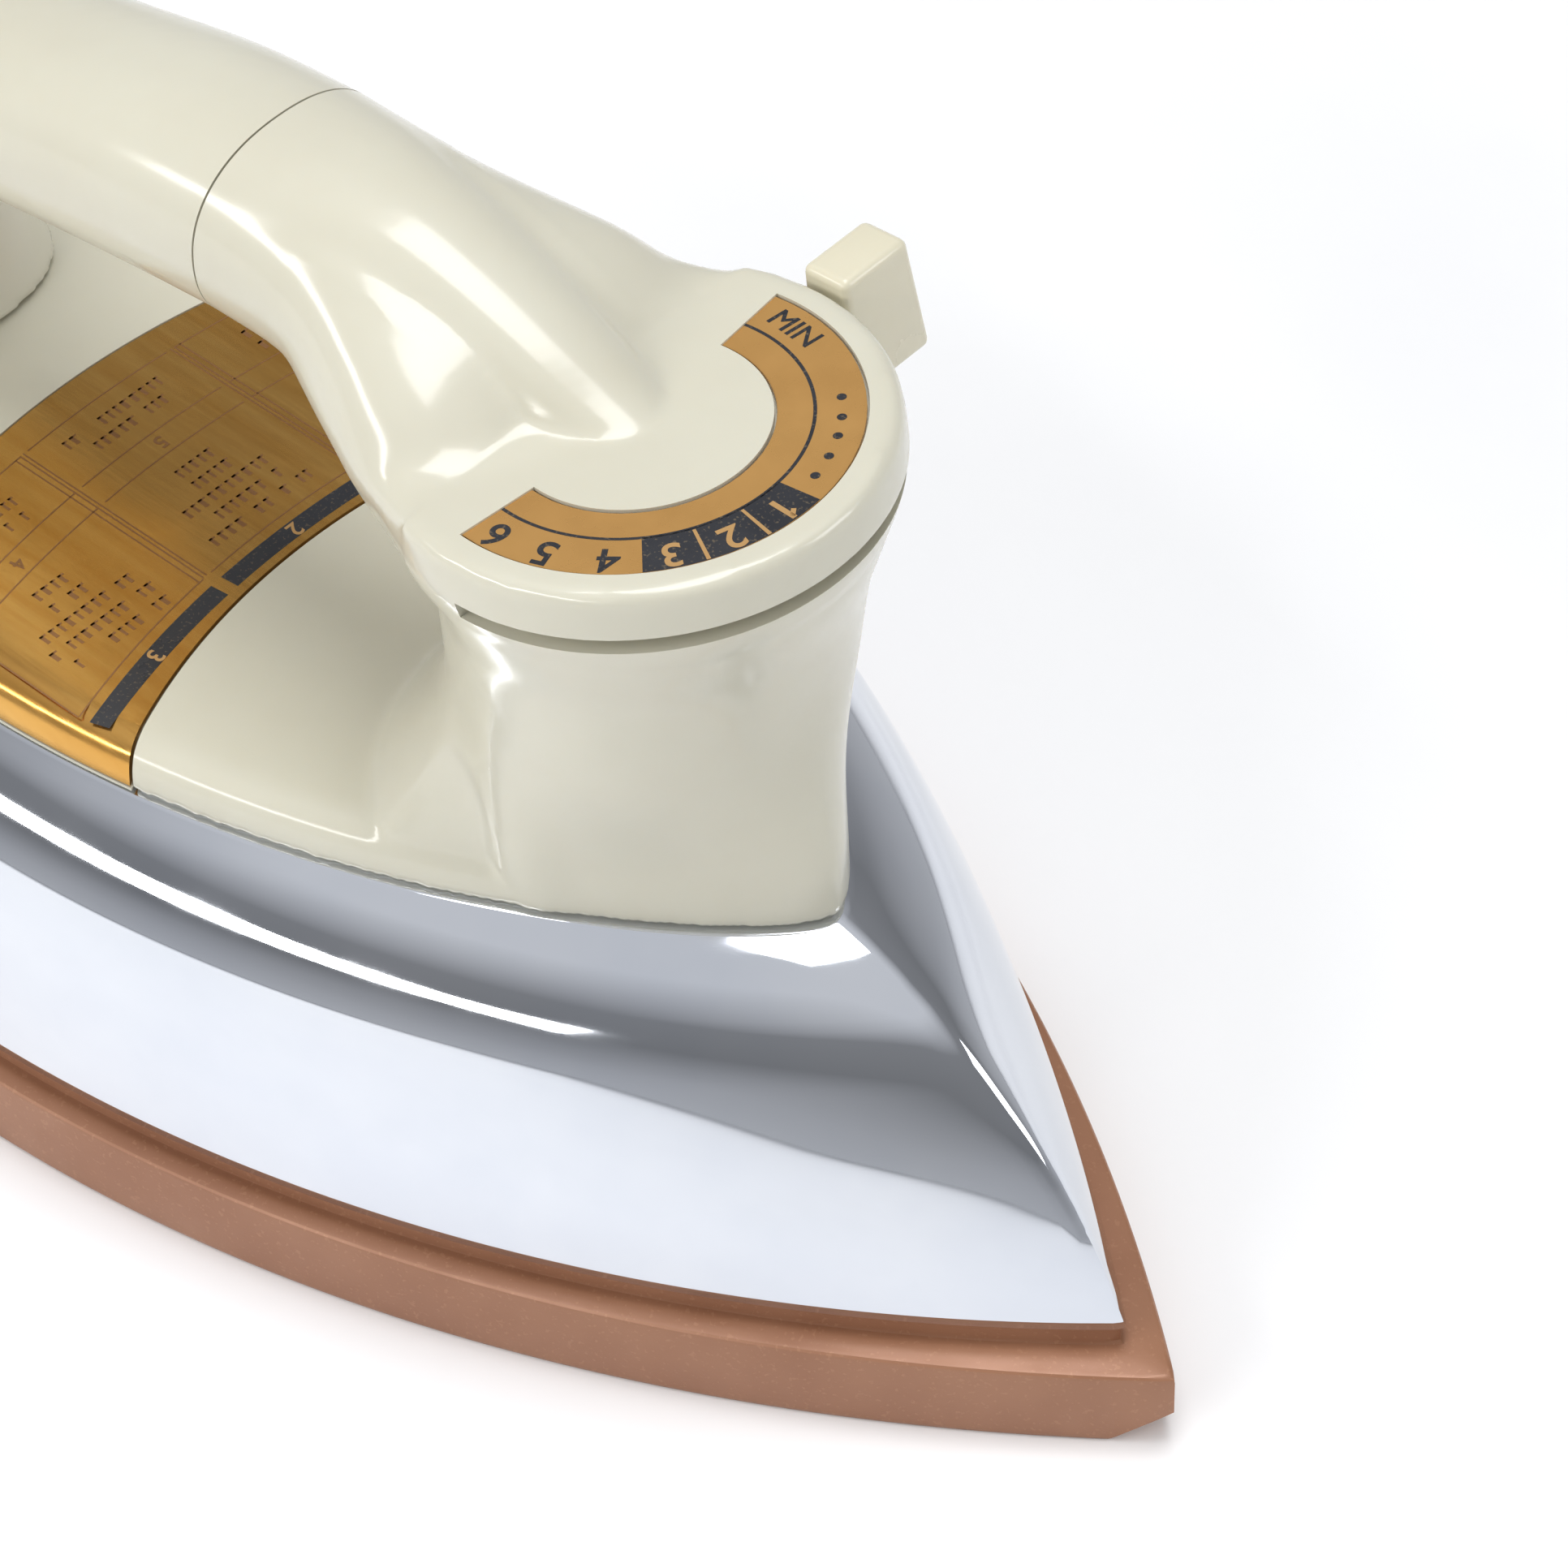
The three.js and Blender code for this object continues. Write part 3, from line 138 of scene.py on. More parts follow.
def finish(name, look):
    material = bpy.data.materials.new(name)
    material.use_nodes = True
    tree = material.node_tree
    shader = tree.nodes["Principled BSDF"]
    shader.inputs["Metallic"].default_value = look.get("metal", 0)
    shader.inputs["IOR"].default_value = look.get("ior", 1.5)
    shader.inputs["Coat Weight"].default_value = look.get("coat", 0)
    shader.inputs["Coat Roughness"].default_value = look.get("coatRoughness", 0.05)
    shader.inputs["Subsurface Weight"].default_value = look.get("inside", 0)
    shader.inputs["Subsurface Radius"].default_value = (0.004, 0.003, 0.002)
    shader.inputs["Transmission Weight"].default_value = look.get("clear", 0)
    coords = tree.nodes.new("ShaderNodeTexCoord")
    place = tree.nodes.new("ShaderNodeMapping")
    place.inputs["Scale"].default_value = look.get("stretch", (1, 1, 1))
    tree.links.new(coords.outputs["Object"], place.inputs["Vector"])

    def noise(scale, detail=4, rough=0.55):
        node = tree.nodes.new("ShaderNodeTexNoise")
        node.inputs["Scale"].default_value = scale
        node.inputs["Detail"].default_value = detail
        node.inputs["Roughness"].default_value = rough
        tree.links.new(place.outputs[0], node.inputs["Vector"])
        return node.outputs["Fac"]

    def spread(source, low, high, fromLow=0.35, fromHigh=0.65):
        node = tree.nodes.new("ShaderNodeMapRange")
        node.inputs["From Min"].default_value = fromLow
        node.inputs["From Max"].default_value = fromHigh
        node.inputs["To Min"].default_value = low
        node.inputs["To Max"].default_value = high
        tree.links.new(source, node.inputs["Value"])
        return node.outputs[0]

    def mixed(factor, first, second):
        node = tree.nodes.new("ShaderNodeMix")
        node.data_type = "RGBA"
        tree.links.new(factor, node.inputs["Factor"])
        for socket, value in ((node.inputs[6], first), (node.inputs[7], second)):
            if isinstance(value, tuple):
                socket.default_value = value
            else:
                tree.links.new(value, socket)
        return node.outputs[2]

    mottle = spread(noise(look.get("mottleScale", 30)), 0, 1)
    color = mixed(mottle, linear(look["color"]), linear(look["second"]))
    if "fleck" in look:
        flecks = spread(noise(look["fleckScale"], 2, 0.5), 0, look.get("fleckShare", 1), 0.6, 0.68)
        color = mixed(flecks, color, linear(look["fleck"]))
    tree.links.new(color, shader.inputs["Base Color"])
    low, high = look["rough"]
    gloss = spread(noise(look.get("roughScale", 60), 6, 0.6), low, high)
    tree.links.new(gloss, shader.inputs["Roughness"])
    bump = tree.nodes.new("ShaderNodeBump")
    bump.inputs["Strength"].default_value = look.get("bump", 0.1)
    bump.inputs["Distance"].default_value = look.get("bumpDepth", 0.0001)
    tree.links.new(noise(look.get("bumpScale", 400), 3, 0.5), bump.inputs["Height"])
    tree.links.new(bump.outputs[0], shader.inputs["Normal"])
    return material


looks = {
    "cream": {"color": (209, 206, 189), "second": (205, 201, 183), "rough": (0.16, 0.22),
              "roughScale": 35, "bump": 0.04, "bumpScale": 260, "bumpDepth": 0.00004, "inside": 0.12,
              "coat": 0.15},
    "creamKnob": {"color": (217, 211, 188), "second": (212, 205, 181), "rough": (0.2, 0.3),
                  "bump": 0.05, "bumpScale": 300, "bumpDepth": 0.00004, "inside": 0.15},
    "chrome": {"color": (222, 225, 231), "second": (214, 218, 226), "metal": 1, "rough": (0.03, 0.07),
               "roughScale": 90, "bump": 0.015, "bumpScale": 120, "bumpDepth": 0.00003},
    "sole": {"color": (158, 112, 84), "second": (149, 103, 76), "metal": 0.15, "rough": (0.34, 0.46),
             "fleck": (172, 126, 96), "fleckScale": 1500, "fleckShare": 0.5, "mottleScale": 55,
             "bump": 0.25, "bumpScale": 1300, "bumpDepth": 0.00006},
    "gold": {"color": (222, 172, 94), "second": (210, 156, 78), "metal": 0.9, "rough": (0.16, 0.26),
             "stretch": (1, 14, 1), "roughScale": 180, "bump": 0.05, "bumpScale": 500,
             "bumpDepth": 0.00002},
    "goldDial": {"color": (206, 158, 92), "second": (198, 149, 84), "metal": 0.45,
                 "rough": (0.24, 0.34), "roughScale": 200, "bump": 0.05, "bumpScale": 600,
                 "bumpDepth": 0.00002},
    "blackInk": {"color": (40, 41, 46), "second": (50, 51, 56), "rough": (0.25, 0.4),
                 "fleck": (120, 106, 84), "fleckScale": 2400, "fleckShare": 0.5, "bump": 0.05},
    "lineInk": {"color": (140, 100, 62), "second": (150, 108, 68), "metal": 0.5, "rough": (0.3, 0.4)},
    "goldInk": {"color": (206, 164, 108), "second": (198, 154, 98), "metal": 0.4, "rough": (0.3, 0.4)},
    "castIron": {"color": (72, 72, 74), "second": (58, 56, 56), "metal": 0.6, "rough": (0.6, 0.85),
                 "bump": 0.5, "bumpScale": 700, "bumpDepth": 0.0003},
    "steel": {"color": (164, 166, 170), "second": (146, 148, 152), "metal": 1, "rough": (0.28, 0.42),
              "stretch": (1, 6, 1), "bump": 0.1},
    "brass": {"color": (190, 160, 92), "second": (172, 140, 76), "metal": 1, "rough": (0.28, 0.4)},
    "silver": {"color": (222, 222, 220), "second": (204, 204, 204), "metal": 1, "rough": (0.25, 0.35)},
    "ceramic": {"color": (234, 230, 220), "second": (224, 218, 205), "rough": (0.5, 0.65), "bump": 0.2},
    "mica": {"color": (188, 176, 146), "second": (164, 150, 120), "rough": (0.4, 0.7),
             "mottleScale": 120, "bump": 0.3},
    "bakelite": {"color": (60, 42, 34), "second": (48, 33, 27), "rough": (0.35, 0.5), "bump": 0.15},
    "redGlass": {"color": (190, 52, 34), "second": (176, 42, 28), "rough": (0.06, 0.12), "clear": 0.5},
    "sleeve": {"color": (220, 214, 198), "second": (196, 188, 170), "rough": (0.7, 0.9), "bump": 0.6,
               "bumpScale": 1500, "bumpDepth": 0.0003},
}
materials = {name: finish(name, look) for name, look in looks.items()}
print("materials made")


# mesh helpers
def lerp(a, b, t):
    return a + (b - a) * t


def clamp(value, low=0.0, high=1.0):
    return max(low, min(high, value))


def ease(t):
    t = clamp(t)
    return t * t * (3 - 2 * t)


def station(pairs, at):  # smooth curve through (place, value) pairs
    if at <= pairs[0][0]:
        return pairs[0][1]
    for i in range(1, len(pairs)):
        if at <= pairs[i][0]:
            (x0, y0), (x1, y1) = pairs[i - 1], pairs[i]
            span = x1 - x0
            t = (at - x0) / span

            def slope(k):
                a, b = pairs[max(k - 1, 0)], pairs[min(k + 1, len(pairs) - 1)]
                return (b[1] - a[1]) / (b[0] - a[0])
            return ((1 + 2 * t) * (1 - t) ** 2 * y0 + t * (1 - t) ** 2 * span * slope(i - 1)
                    + t * t * (3 - 2 * t) * y1 + t * t * (t - 1) * span * slope(i))
    return pairs[-1][1]


def shade(bm, sharp):
    for face in bm.faces:
        face.smooth = True
    for edge in bm.edges:
        if len(edge.link_faces) == 2:
            edge.smooth = edge.calc_face_angle(0) < math.radians(sharp)


def asObject(name, bm, sharp=35):
    bmesh.ops.recalc_face_normals(bm, faces=bm.faces)
    shade(bm, sharp)
    mesh = bpy.data.meshes.new(name)
    bm.to_mesh(mesh)
    bm.free()
    obj = bpy.data.objects.new(name, mesh)
    scene.collection.objects.link(obj)
    return obj


def applied(obj):
    bpy.context.view_layer.update()
    mesh = bpy.data.meshes.new_from_object(obj.evaluated_get(bpy.context.evaluated_depsgraph_get()))
    obj.modifiers.clear()
    obj.data = mesh
    return obj


def remove(*objs):
    for obj in objs:
        bpy.data.objects.remove(obj)


def joined(name, objs):
    bm = bmesh.new()
    for obj in objs:
        bm.from_mesh(obj.data)
    remove(*objs)
    mesh = bpy.data.meshes.new(name)
    bm.to_mesh(mesh)
    bm.free()
    result = bpy.data.objects.new(name, mesh)
    scene.collection.objects.link(result)
    return result


def loft(rings, closeLow=True):
    around, levels = len(rings[0]), len(rings) - 1
    bm = bmesh.new()
    level = bm.verts.layers.int.new("level")
    bmesh.ops.create_grid(bm, x_segments=around, y_segments=levels, size=0.5)
    for v in bm.verts:
        i = round((v.co.x + 0.5) * around) % around
        j = round((v.co.y + 0.5) * levels)
        v[level] = j
        v.co = Vector(rings[j][i]) * mm
    bmesh.ops.remove_doubles(bm, verts=bm.verts, dist=1e-7)
    for at in (0, levels) if closeLow else (levels,):
        rim = [e for e in bm.edges if e.is_boundary and all(v[level] == at for v in e.verts)]
        bmesh.ops.holes_fill(bm, edges=rim, sides=0)
    bm.verts.layers.int.remove(level)
    bmesh.ops.recalc_face_normals(bm, faces=bm.faces)
    return bm


def cylinder(x, y, radius, lowZ, highZ, sides=96, place=None):
    bm = bmesh.new()
    middle = Matrix.Translation(Vector((x, y, (lowZ + highZ) / 2)) * mm)
    bmesh.ops.create_cone(bm, cap_ends=True, segments=sides, radius1=radius * mm,
                          radius2=radius * mm, depth=(highZ - lowZ) * mm,
                          matrix=(place or Matrix.Identity(4)) @ middle)
    return bm


def block(lowX, highX, lowY, highY, lowZ, highZ, place=None):
    bm = bmesh.new()
    size = Matrix.Diagonal(((highX - lowX) * mm, (highY - lowY) * mm, (highZ - lowZ) * mm, 1))
    centre = Vector(((lowX + highX) / 2, (lowY + highY) / 2, (lowZ + highZ) / 2))
    middle = Matrix.Translation(centre * mm)
    bmesh.ops.create_cube(bm, size=1, matrix=(place or Matrix.Identity(4)) @ middle @ size)
    return bm


def boolean(obj, operation, bm):
    tool = asObject("tool", bm)
    modifier = obj.modifiers.new(operation, "BOOLEAN")
    modifier.operation = operation
    modifier.solver = "EXACT"
    modifier.object = tool
    applied(obj)
    remove(tool)
    return obj


def reshade(obj, sharp=35):
    bm = bmesh.new()
    bm.from_mesh(obj.data)
    shade(bm, sharp)
    bm.to_mesh(obj.data)
    bm.free()
    return obj


def melted(obj, voxel, rounds):
    remesh = obj.modifiers.new("voxels", "REMESH")
    remesh.mode = "VOXEL"
    remesh.voxel_size = voxel * mm
    remesh.use_smooth_shade = True
    soften = obj.modifiers.new("soften", "SMOOTH")
    soften.factor = 0.5
    soften.iterations = rounds
    return applied(obj)


def cutFlat(obj, place, normal):
    bm = bmesh.new()
    bm.from_mesh(obj.data)
    cut = bmesh.ops.bisect_plane(bm, geom=bm.verts[:] + bm.edges[:] + bm.faces[:], dist=1e-7,
                                 plane_co=Vector(place) * mm, plane_no=normal, clear_outer=True)
    rim = [e for e in cut["geom_cut"] if isinstance(e, bmesh.types.BMEdge)]
    bmesh.ops.holes_fill(bm, edges=rim, sides=0)
    bm.to_mesh(obj.data)
    bm.free()
    return obj


def dress(obj, look, body, *replaced):
    obj.data.materials.clear()
    obj.data.materials.append(materials[look])
    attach(obj, body)
    if replaced:
        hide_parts(*replaced)
    return obj


# outline of the sole, from which the shell and the base follow
soleShape = {"noseX": soleHigh.x + 0.27, "rearX": soleLow.x, "halfWidth": soleHigh.y,
             "noseAngle": 39.5, "tightening": 0.0013, "heel": 2.7, "heelSteps": 90, "step": 0.5,
             "nosePullLength": 50, "noseCrowding": 0.35}


def soleSide():
    start = math.radians(soleShape["noseAngle"])
    step, heelSteps = soleShape["step"], soleShape["heelSteps"]

    def walk(radius):  # an arc from the nose that tightens as it goes back
        points, x, y, s = [], soleShape["noseX"], 0.0, 0.0
        while True:
            heading = start - s / radius * (1 + soleShape["tightening"] * s)
            if heading <= 0:
                return points
            points.append((x, y, s, heading))
            x -= math.cos(heading) * step
            y += math.sin(heading) * step
            s += step
    low, high = 100.0, 900.0  # radii between which the widest point is found
    for _ in range(40):
        middle = (low + high) / 2
        if walk(middle)[-1][1] > soleShape["halfWidth"]:
            high = middle
        else:
            low = middle
    points = walk((low + high) / 2)
    wideX, wideY = points[-1][:2]
    for i in range(1, heelSteps + 1):
        t = i / heelSteps * math.pi / 2
        x = wideX - (wideX - soleShape["rearX"]) * math.sin(t) ** (2 / soleShape["heel"])
        y = wideY * max(math.cos(t), 0) ** (2 / soleShape["heel"])
        px, py, ps = points[-1][:3]
        heading = -math.pi / 2 if i == heelSteps else math.atan2(y - py, px - x)
        points.append((x, y, ps + math.hypot(x - px, y - py), heading))
    return points


soleEdge = soleSide()


def outline(inset, pull=0.0, blunt=0.0, half=110):  # the sole's line moved in, more so at the nose
    side = []
    crowding = soleShape["noseCrowding"]
    for x, y, s, heading in soleEdge:
        depth = inset + pull * math.exp(-s / soleShape["nosePullLength"])
        px, py = x - depth * math.sin(heading), y - depth * math.cos(heading)
        if py >= blunt and (not side or px < side[-1][0] + 1e-9):
            side.append((px, math.sqrt(max(py * py - blunt * blunt, 0))))
    head = (side[0][0] + (side[0][1] * 0.4 if side[0][1] > 0.02 else 0), 0.0)
    line = [head] + [p for p in side if p[1] > 0.4] + [(soleEdge[-1][0] + inset, 0.0)]
    lengths = [0.0]
    for a, b in zip(line, line[1:]):
        lengths.append(lengths[-1] + math.dist(a, b))
    near, k = [], 1
    for i in range(half + 1):
        t = i / half
        at = lengths[-1] * (crowding * t * t + (1 - crowding) * t)
        while k < len(lengths) - 1 and lengths[k] < at:
            k += 1
        share = clamp((at - lengths[k - 1]) / ((lengths[k] - lengths[k - 1]) or 1))
        near.append(tuple(lerp(a, b, share) for a, b in zip(line[k - 1], line[k])))
    return near + [(x, -y) for x, y in near[-2:0:-1]]


def atZ(points, z):
    return [(x, y, z) for x, y in points]


# soleplate: coated flange with a bevelled tip and a narrower band under the shell
sole = {"flange": 11.8, "pedestalInset": 3.2, "tipBevel": 6.3, "tipAngle": 43, "edge": 0.5}


def makeSole():
    top, edge = sole["flange"], sole["edge"]
    foot = sole["pedestalInset"]
    layers = [(0, 1.1, 0, 0.2), (0.12, edge * 0.5, 0, 0.2), (0.5, 0.08, 0, 0.2), (0.9, 0, 0, 0.2),
              (top - 0.8, 0, 0, 0.2), (top - 0.35, 0.1, 0, 0.2), (top - 0.1, 0.34, 0, 0.2),
              (top, 0.75, 0, 0.2), (top, foot - 0.7, 1.5, 0.3), (top + 0.1, foot - 0.15, 1.9, 0.3),
              (top + 0.5, foot, 2, 0.3), (soleHigh.z - 0.25, foot + 0.05, 2, 0.3),
              (soleHigh.z, foot + 0.4, 2, 0.3)]  # height, inset, pull at the nose, bluntness
    obj = asObject("coated_soleplate", loft([atZ(outline(i, p, b), z) for z, i, p, b in layers]))
    angle = math.radians(sole["tipAngle"])
    cutFlat(obj, (soleShape["noseX"] - sole["tipBevel"], 0, 0), (math.sin(angle), 0, -math.cos(angle)))
    reshade(obj, 30)
    dress(obj, "sole", "iron", "soleplate")


# chrome shell: each ring is height, inset, pull at the nose, bluntness
shell = {"rings": [(0, 2.0, 2.9, 0.2), (7.5, 2.5, 4.8, 0.2), (14, 2.95, 7.5, 0.4), (21, 3.6, 11.8, 1),
                   (28, 4.9, 17.5, 2), (32, 6.8, 20.5, 2.5), (34.8, 9.2, 22.8, 3),
                   (37.2, 12.4, 23.8, 3.5), (39, 16, 23.4, 4)],
         "levels": 44, "crowding": 1.35, "half": 150, "lid": (24, 23, 4), "wall": 1.2}


def shellRow(column, z):
    return station([(ring[0], ring[column]) for ring in shell["rings"]], z)


def makeShell():
    height = shellHigh.z - shellLow.z
    rings = []
    for i in range(shell["levels"] + 1):
        t = i / shell["levels"]
        z = height * (1 - (1 - t) ** shell["crowding"])
        line = outline(shellRow(1, z), shellRow(2, z), shellRow(3, z), shell["half"])
        rings.append(atZ(line, shellLow.z + z))
    rings.append(atZ(outline(*shell["lid"], shell["half"]), shellHigh.z + 0.02))
    obj = asObject("chrome_cover_shell", loft(rings, closeLow=False), 60)
    wall = obj.modifiers.new("wall", "SOLIDIFY")
    wall.thickness = shell["wall"] * mm
    wall.offset = -1
    applied(obj)
    dress(obj, "chrome", "iron", "chrome_shell")


# cream mouldings
base = {"inset": 16, "pull": 23.4, "blunt": 4, "splitRadius": 83, "splitAhead": 26, "chartRear": 99,
        "plate": 0.6, "edge": [(0, 0), (0.35, 0.2), (0.76, 1.1), (0.93, 2.6), (1, 4.6)], "levels": 12}
post = {"waist": 23, "top": 28, "footReach": 10, "footHeight": 24, "prowHeight": 26,
        "widening": [(-59.5, 0), (-37.8, 0.02), (-29.8, 0.08), (-23.8, 0.22), (-18.8, 0.4), (-13.8, 0.68),
                     (-9.8, 0.9), (-5.8, 1)]}
cap = {"radius": 28.6, "thickness": 5.8, "slot": 2.3, "recess": 1.0, "outer": 24.5, "inner": 14.8,
       "back": 2.6}
grip = {"seam": -10.5, "halfWidth": 14.7, "halfHeight": 12.4, "rise": 1, "drop": 15.8, "length": 104,
        "rows": [(-0.06, 1.01, 14.7, 12.4, 0), (0, 1, 14.7, 12.4, 0), (0.16, 0.905, 14.7, 12.4, 6),
                 (0.36, 0.702, 14.1, 12, 8), (0.56, 0.5, 13.8, 11.8, 8), (0.76, 0.31, 14.2, 12, 9),
                 (0.92, 0.131, 14.8, 12.2, 12), (1, 0, 14.4, 11.6, 16)], "voxel": 0.7, "rounds": 8}
splitX = dialX + base["splitAhead"]


def plateau(grow, topZ, bottomZ):
    rings = []
    for i in range(base["levels"] + 1):
        t = i / base["levels"]
        share = 1 - (1 - t) ** 1.6
        inset = base["inset"] + station(base["edge"], share) + grow
        rings.append(atZ(outline(inset, base["pull"], base["blunt"]), lerp(bottomZ, topZ, share)))
    return loft(rings)


edgeLine = outline(base["inset"], base["pull"], base["blunt"], 90)[:91]


def edgeRadius(angle):
    for (ax, ay), (bx, by) in zip(edgeLine, edgeLine[1:]):
        first, second = math.atan2(ay, ax - dialX), math.atan2(by, bx - dialX)
        if first <= angle <= second:
            t = (angle - first) / ((second - first) or 1)
            return math.hypot(lerp(ax, bx, t) - dialX, lerp(ay, by, t))
    return base["splitRadius"] - base["splitAhead"]


def postRing(z, around=144):
    ring = []
    cup = station(post["widening"], z - dialZ) * (post["top"] - post["waist"])
    prow = 1 - ease((z - baseTop) / post["prowHeight"])
    footShare = clamp((baseTop + post["footHeight"] - z) / post["footHeight"]) ** 2.3
    for i in range(around):
        angle = i / around * math.tau
        folded = min(angle, math.tau - angle)
        edge = edgeRadius(folded)
        circle = post["waist"] + cup * (1 - 0.75 * ease((folded - 1.6) / 0.5))
        side = ease((folded - 1.3) / 0.6)
        foot = footShare * clamp(edge - post["waist"] - 2.5, 0, post["footReach"]) * side
        radius = lerp(circle, edge, prow * (1 - side)) + foot
        ring.append((dialX + math.cos(angle) * radius, math.sin(angle) * radius, z))
    return ring


def oval(x, z, halfWidth, halfHeight, lean=0.0, squareness=2.25, around=96):
    ring = []
    for i in range(around):
        angle = i / around * math.tau
        c, s = math.cos(angle), math.sin(angle)
        across = math.copysign(abs(c) ** (2 / squareness), c) * halfWidth
        up = math.copysign(abs(s) ** (2 / squareness), s) * halfHeight
        ring.append((x - up * math.sin(lean), across, z + up * math.cos(lean)))
    return ring


def ovals(sections, steps=48):
    count = len(sections) - 1
    columns = [[(i, row[k]) for i, row in enumerate(sections)] for k in range(len(sections[0]))]
    places = [count * i / steps for i in range(steps + 1)]
    return loft([oval(*(station(column, at) for column in columns)) for at in places])


def discLoft(layers, place, around=160):
    turns = [i / around * math.tau for i in range(around)]
    bm = loft([[(math.cos(a) * radius, math.sin(a) * radius, z) for a in turns] for z, radius in layers])
    bmesh.ops.transform(bm, matrix=place, verts=bm.verts)
    return bm


def sector(inner, outer, first, last, lowZ, highZ, place=None, steps=64, centreX=0, clipX=None):
    bm = bmesh.new()
    c, s = math.cos(first), math.sin(first)
    ends = [bm.verts.new(Vector((centreX + c * r, s * r, lowZ)) * mm) for r in (inner, outer)]
    line = bm.edges.new(ends)
    bmesh.ops.spin(bm, geom=ends + [line], cent=(centreX * mm, 0, 0), axis=(0, 0, 1),
                   angle=last - first, steps=steps, use_duplicate=False)
    if clipX is not None:
        bmesh.ops.bisect_plane(bm, geom=bm.verts[:] + bm.edges[:] + bm.faces[:], dist=1e-7,
                               plane_co=(clipX * mm, 0, 0), plane_no=(-1, 0, 0), clear_outer=True)
    raised = bmesh.ops.extrude_face_region(bm, geom=bm.faces[:])
    moved = [g for g in raised["geom"] if isinstance(g, bmesh.types.BMVert)]
    bmesh.ops.translate(bm, vec=(0, 0, (highZ - lowZ) * mm), verts=moved)
    bmesh.ops.recalc_face_normals(bm, faces=bm.faces)
    if place:
        bmesh.ops.transform(bm, matrix=place, verts=bm.verts)
    return bm


# front housing: post, neck, spoon on top of the neck and web at its sides, melted into one moulding
# rows are measured from the dial's axis: ahead, up, half width, half height, lean, squareness
housing = {"neck": [(-3, -29.8, 20, 12, -82, 2.25), (-7, -19.8, 20.6, 12.4, -70, 2.5),
                    (-14, -9.5, 22.4, 11.2, -52, 2.8), (-21, -3.4, 22.4, 10.2, -36, 2.7),
                    (-29, -0.4, 18.8, 10.2, -20, 2.4), (-40, 0.9, 15.4, 11.6, -7, 2.25)],
           "spoon": [(-42, 1.5, 13.6, 12.3), (-31, 0.8, 11.8, 12.0), (-21, -1.2, 10.6, 11.2),
                     (-12, -3.4, 9.4, 9.8), (-4, -5.2, 7.8, 7.9), (1.5, -5.8, 6.2, 6.2), (4, -6.2, 4.6, 5)],
           "web": [(-38, -2.6, 15.6, 8.6), (-31, -3.6, 19, 7.6), (-24, -4.2, 22, 6.4),
                   (-16, -4.2, 24.8, 5.2), (-8, -3.8, 26.6, 4), (0, -3.6, 27, 3.2)],
           "levels": 40, "voxel": 0.72, "rounds": 7, "shoulderRounds": 44, "slotReach": 41,
           "roomRadius": 11, "roomBack": 2, "roomDown": 14.5, "spindleHole": 2.9, "dialGap": 0.25}


def aroundDial(rows):
    return [(dialX + row[0], dialZ + row[1]) + tuple(row[2:]) for row in rows]


def smoothShoulders(obj):  # the shoulders of the neck flow into the cap
    bm = bmesh.new()
    bm.from_mesh(obj.data)
    for _ in range(housing["shoulderRounds"]):
        near = [v for v in bm.verts if dialX - 40 < v.co.x / mm < dialX - 9 and v.co.z / mm > dialZ - 14
                and abs(v.co.y / mm) > 11.5 and v.co.z / mm < dialZ + 9]
        bmesh.ops.smooth_vert(bm, verts=near, factor=0.5, use_axis_x=True, use_axis_y=True,
                              use_axis_z=True)
    bm.to_mesh(obj.data)
    bm.free()


